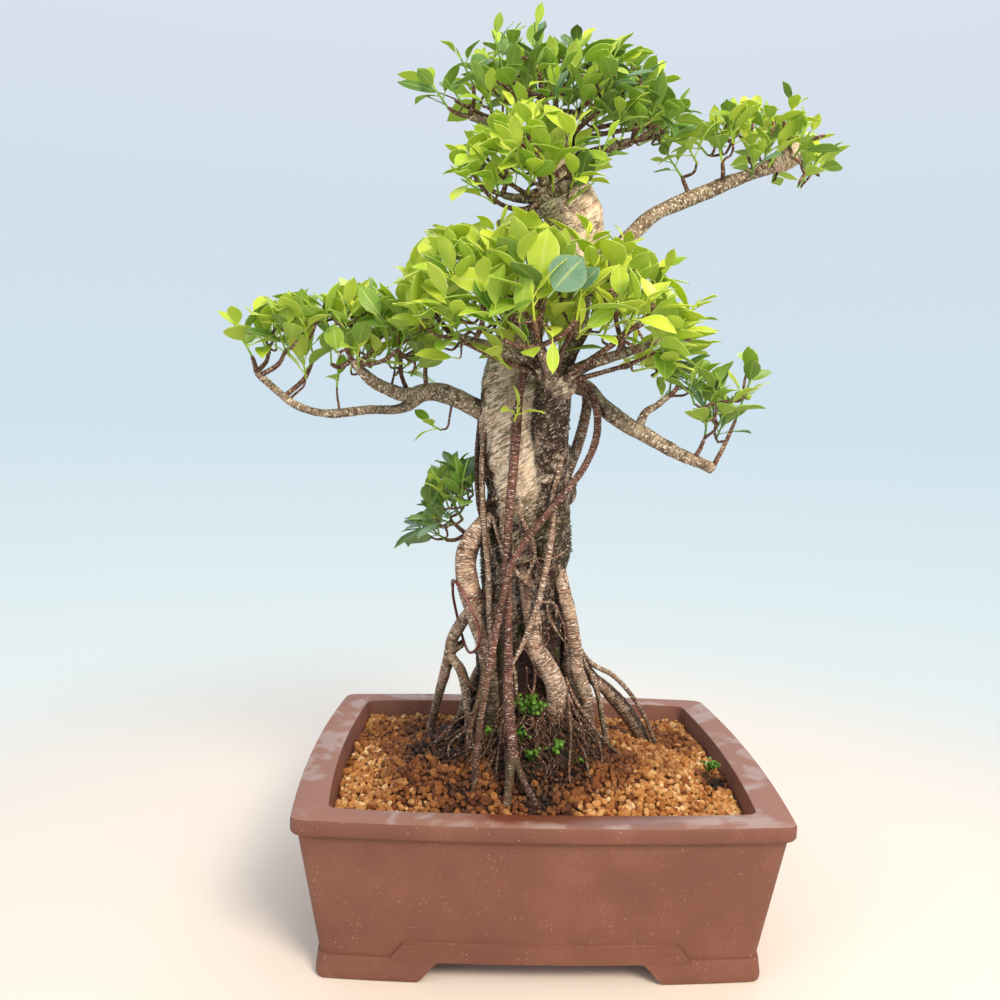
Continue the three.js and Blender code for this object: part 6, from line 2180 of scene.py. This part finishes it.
# %% Moss and weed materials
moss_green = new_material("cushion_moss", Roughness=0.85, IOR=1.4)
patch = noise(moss_green, where(moss_green), 160, 3)
finish(moss_green, ramp(moss_green, patch, (0.32, "#2f3510"), (0.5, "#4b581a"), (0.7, "#72862a")))

weed_green = new_material("seedling_leaves", Roughness=0.42, IOR=1.4)
greens = ramp(weed_green, noise(weed_green, where(weed_green), 220), (0.35, "#376319"), (0.65, "#7aa93a"))
finish(weed_green, greens)
mix_in(weed_green, 0.35, add(weed_green, "BsdfTranslucent", {"Color": greens}))

# %% Place the moss
TRUNK_TUFTS = 1700
BALL_TUFTS = 1100


def pick(weights, count):
    """Numbers of points drawn with the given weights."""
    count = min(count, int((weights > 0).sum()))
    return rng.choice(len(weights), size=count, replace=False, p=weights / weights.sum())


trunk_points, trunk_normals = read_points(trunk.data) / MM, read_points(trunk.data, normals=True)
trunk_moss = np.zeros(len(trunk_points), np.float32)
trunk.data.attributes["moss"].data.foreach_get("value", trunk_moss)
ball_points, ball_normals = read_points(ball.data) / MM, read_points(ball.data, normals=True)
low_trunk = trunk_moss**2 * (trunk_points[:, 2] < 500) * (smooth_noise(trunk_points, 15, 81) > -0.15)
on_top = (ball_normals[:, 2] > 0.2) * (smooth_noise(ball_points, 22, 82) > 0.05) * (ball_points[:, 2] > 165)
chosen, other = pick(low_trunk, TRUNK_TUFTS), pick(on_top.astype(float), BALL_TUFTS)
centres = np.vstack([trunk_points[chosen], ball_points[other]])
facing = np.vstack([trunk_normals[chosen], ball_normals[other]]) + (0, 0, 0.35)
heights = rng.uniform(1.6, 3.4, len(centres))
turns = turned_to(facing, rng.uniform(0, 6.28, len(centres)))
points, faces, _ = scatter(tuft_shapes, centres, heights, turns)
piece("moss", points, faces, moss_green)
print("moss tufts:", len(centres), "faces:", len(faces))

# %% Place the weeds
WEEDS = [
    # Middle of the clump, radius, number of leaves, leaf width
    [(-11, -70, 224), 19, 60, 3.9],
    [(-19, -86, 200), 10, 20, 3.2],
    [(-8, -100, 186), 10, 24, 3.4],
    [(14, -92, 190), 12, 28, 3.6],
    [(-50, -94, 206), 6, 8, 3.0],
    [(178, -34, 152), 10, 22, 3.4],
    [(40, -88, 172), 8, 12, 3.0],
]
leaves, stalks = [], []
for middle, reach, count, width in WEEDS:
    for k in range(count):
        away = unit(rng.normal(size=3)) * (1, 0.7, 0.55) * reach * rng.uniform(0.3, 1)
        place = np.array(middle, float) + away
        root = place + (-away[0] * 0.5, 5 + 0.3 * reach, -0.45 * reach - rng.uniform(4, 8))
        facing = unit(away / reach + rng.normal(size=3) * 0.35 + (0, -0.5, 0.9))
        leaves.append((place, facing, width * rng.uniform(0.7, 1.25)))
        bend = between(root, place, 0.6) + (0, 0, 2)
        stalks.append(tube([[*root, 0.4], [*bend, 0.35], [*place, 0.3]], 3, 4))
centres, facings, widths = (np.array(column) for column in zip(*leaves))
turns = turned_to(facings, rng.uniform(0, 6.28, len(centres)))
points, faces, _ = scatter([weed_shape], centres, widths, turns)
points, faces, _ = merge([{"points": points, "faces": faces}, *stalks], ())
piece("weeds", points, faces, weed_green)
print("weed leaves:", len(leaves), "faces:", len(faces))

# %% [markdown]
# ## The training wire
#
# A turn of plastic-coated wire still hangs round a root on the left. The coating is dark red
# brown, smooth and a little shiny, with a lighter bloom where it has weathered, whose palest
# patches are a painted highlight.

# %% Training wire
WIRE_RADIUS = 1.45
WIRE_LOOP = [
    [-88, -25, 333], [-88, -12, 316], [-85, -2, 298], [-81, 2, 281], [-75, -10, 265], [-69, -34, 262],
    [-61, -50, 274], [-62, -50, 294], [-71, -46, 312], [-81, -39, 328], [-88, -25, 333], [-89, -16, 325],
]
coating = new_material("wire_coating", IOR=1.5, Coat_Weight=0.5, Coat_Roughness=0.3)
bloom_and_highlight = noise(coating, where(coating), 240, 4, 0.65)
# The palest colour is partly weathered bloom and partly a painted highlight
colours = ramp(coating, bloom_and_highlight, (0.35, "#531a13"), (0.55, "#72281c"), (0.72, "#a0604f"))
finish(coating, colours, span(coating, bloom_and_highlight, 0.35, 0.7, 0.28, 0.6), bloom_and_highlight, 0.2, 0.0002)
loop = tube([[*knot, WIRE_RADIUS] for knot in WIRE_LOOP], 1.0, 12)
wire = piece("coated_wire", loop["points"], loop["faces"], coating)
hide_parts("training_wire")

# %% [markdown]
# ## The drain meshes
#
# The solid model's drain meshes have their true shape, so they stay and only get a finish:
# black polyethylene net, moulded, waxy, dusted with soil and scuffed to grey in patches.

# %% Drain mesh plastic
net = new_material("polyethylene_net", IOR=1.51)
dust = noise(net, where(net), 300, 4, 0.7)
colours = ramp(net, dust, (0.4, "#1d1d1e"), (0.58, "#2f2c2a"), (0.72, "#6d5540"))
finish(net, colours, span(net, dust, 0.4, 0.7, 0.42, 0.85), dust, 0.3, 0.0003)
for name in ("drain_mesh_left", "drain_mesh_right"):
    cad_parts[name].material_slots[0].material = net

# %% [markdown]
# ## Two figs
#
# A pair of unripe figs, the size of peas, sits on a small shoot of the lower right branch.
# They are balls drawn out a little, green with pale dots, with an eye at the tip.

# %% Figs
FIGS = [((183, -46, 524), 3.8), ((192, -46, 523), 3.4)]
fig_skin = new_material("fig_skin", IOR=1.45, Roughness=0.4)
dots = add(fig_skin, "TexVoronoi", {"Vector": where(fig_skin), "Scale": 900.0}).outputs["Distance"]
finish(fig_skin, ramp(fig_skin, dots, (0.12, "#d9dd9a"), (0.24, "#8fa83a")))
for number, (middle, radius) in enumerate(FIGS):
    bpy.ops.mesh.primitive_uv_sphere_add(segments=20, ring_count=12, radius=radius * MM)
    fig = bpy.context.object
    fig.name = "fig_%d" % (number + 1)
    mode("EDIT")
    bpy.ops.transform.resize(value=(1, 1, 1.12))
    bpy.ops.mesh.select_all(action="DESELECT")
    shape = bmesh.from_edit_mesh(fig.data)
    highest = max(vertex.co.z for vertex in shape.verts)
    for vertex in shape.verts:
        vertex.select = vertex.co.z > 0.86 * highest
    shape.select_flush_mode()
    bmesh.update_edit_mesh(fig.data)
    bpy.ops.transform.translate(value=(0, 0, -0.35 * MM))
    bpy.ops.mesh.select_all(action="SELECT")
    bpy.ops.transform.translate(value=tuple(np.array(middle) * MM))
    mode("OBJECT")
    bpy.ops.object.shade_smooth()
    settle(fig, fig_skin)
print("figs:", len(FIGS))
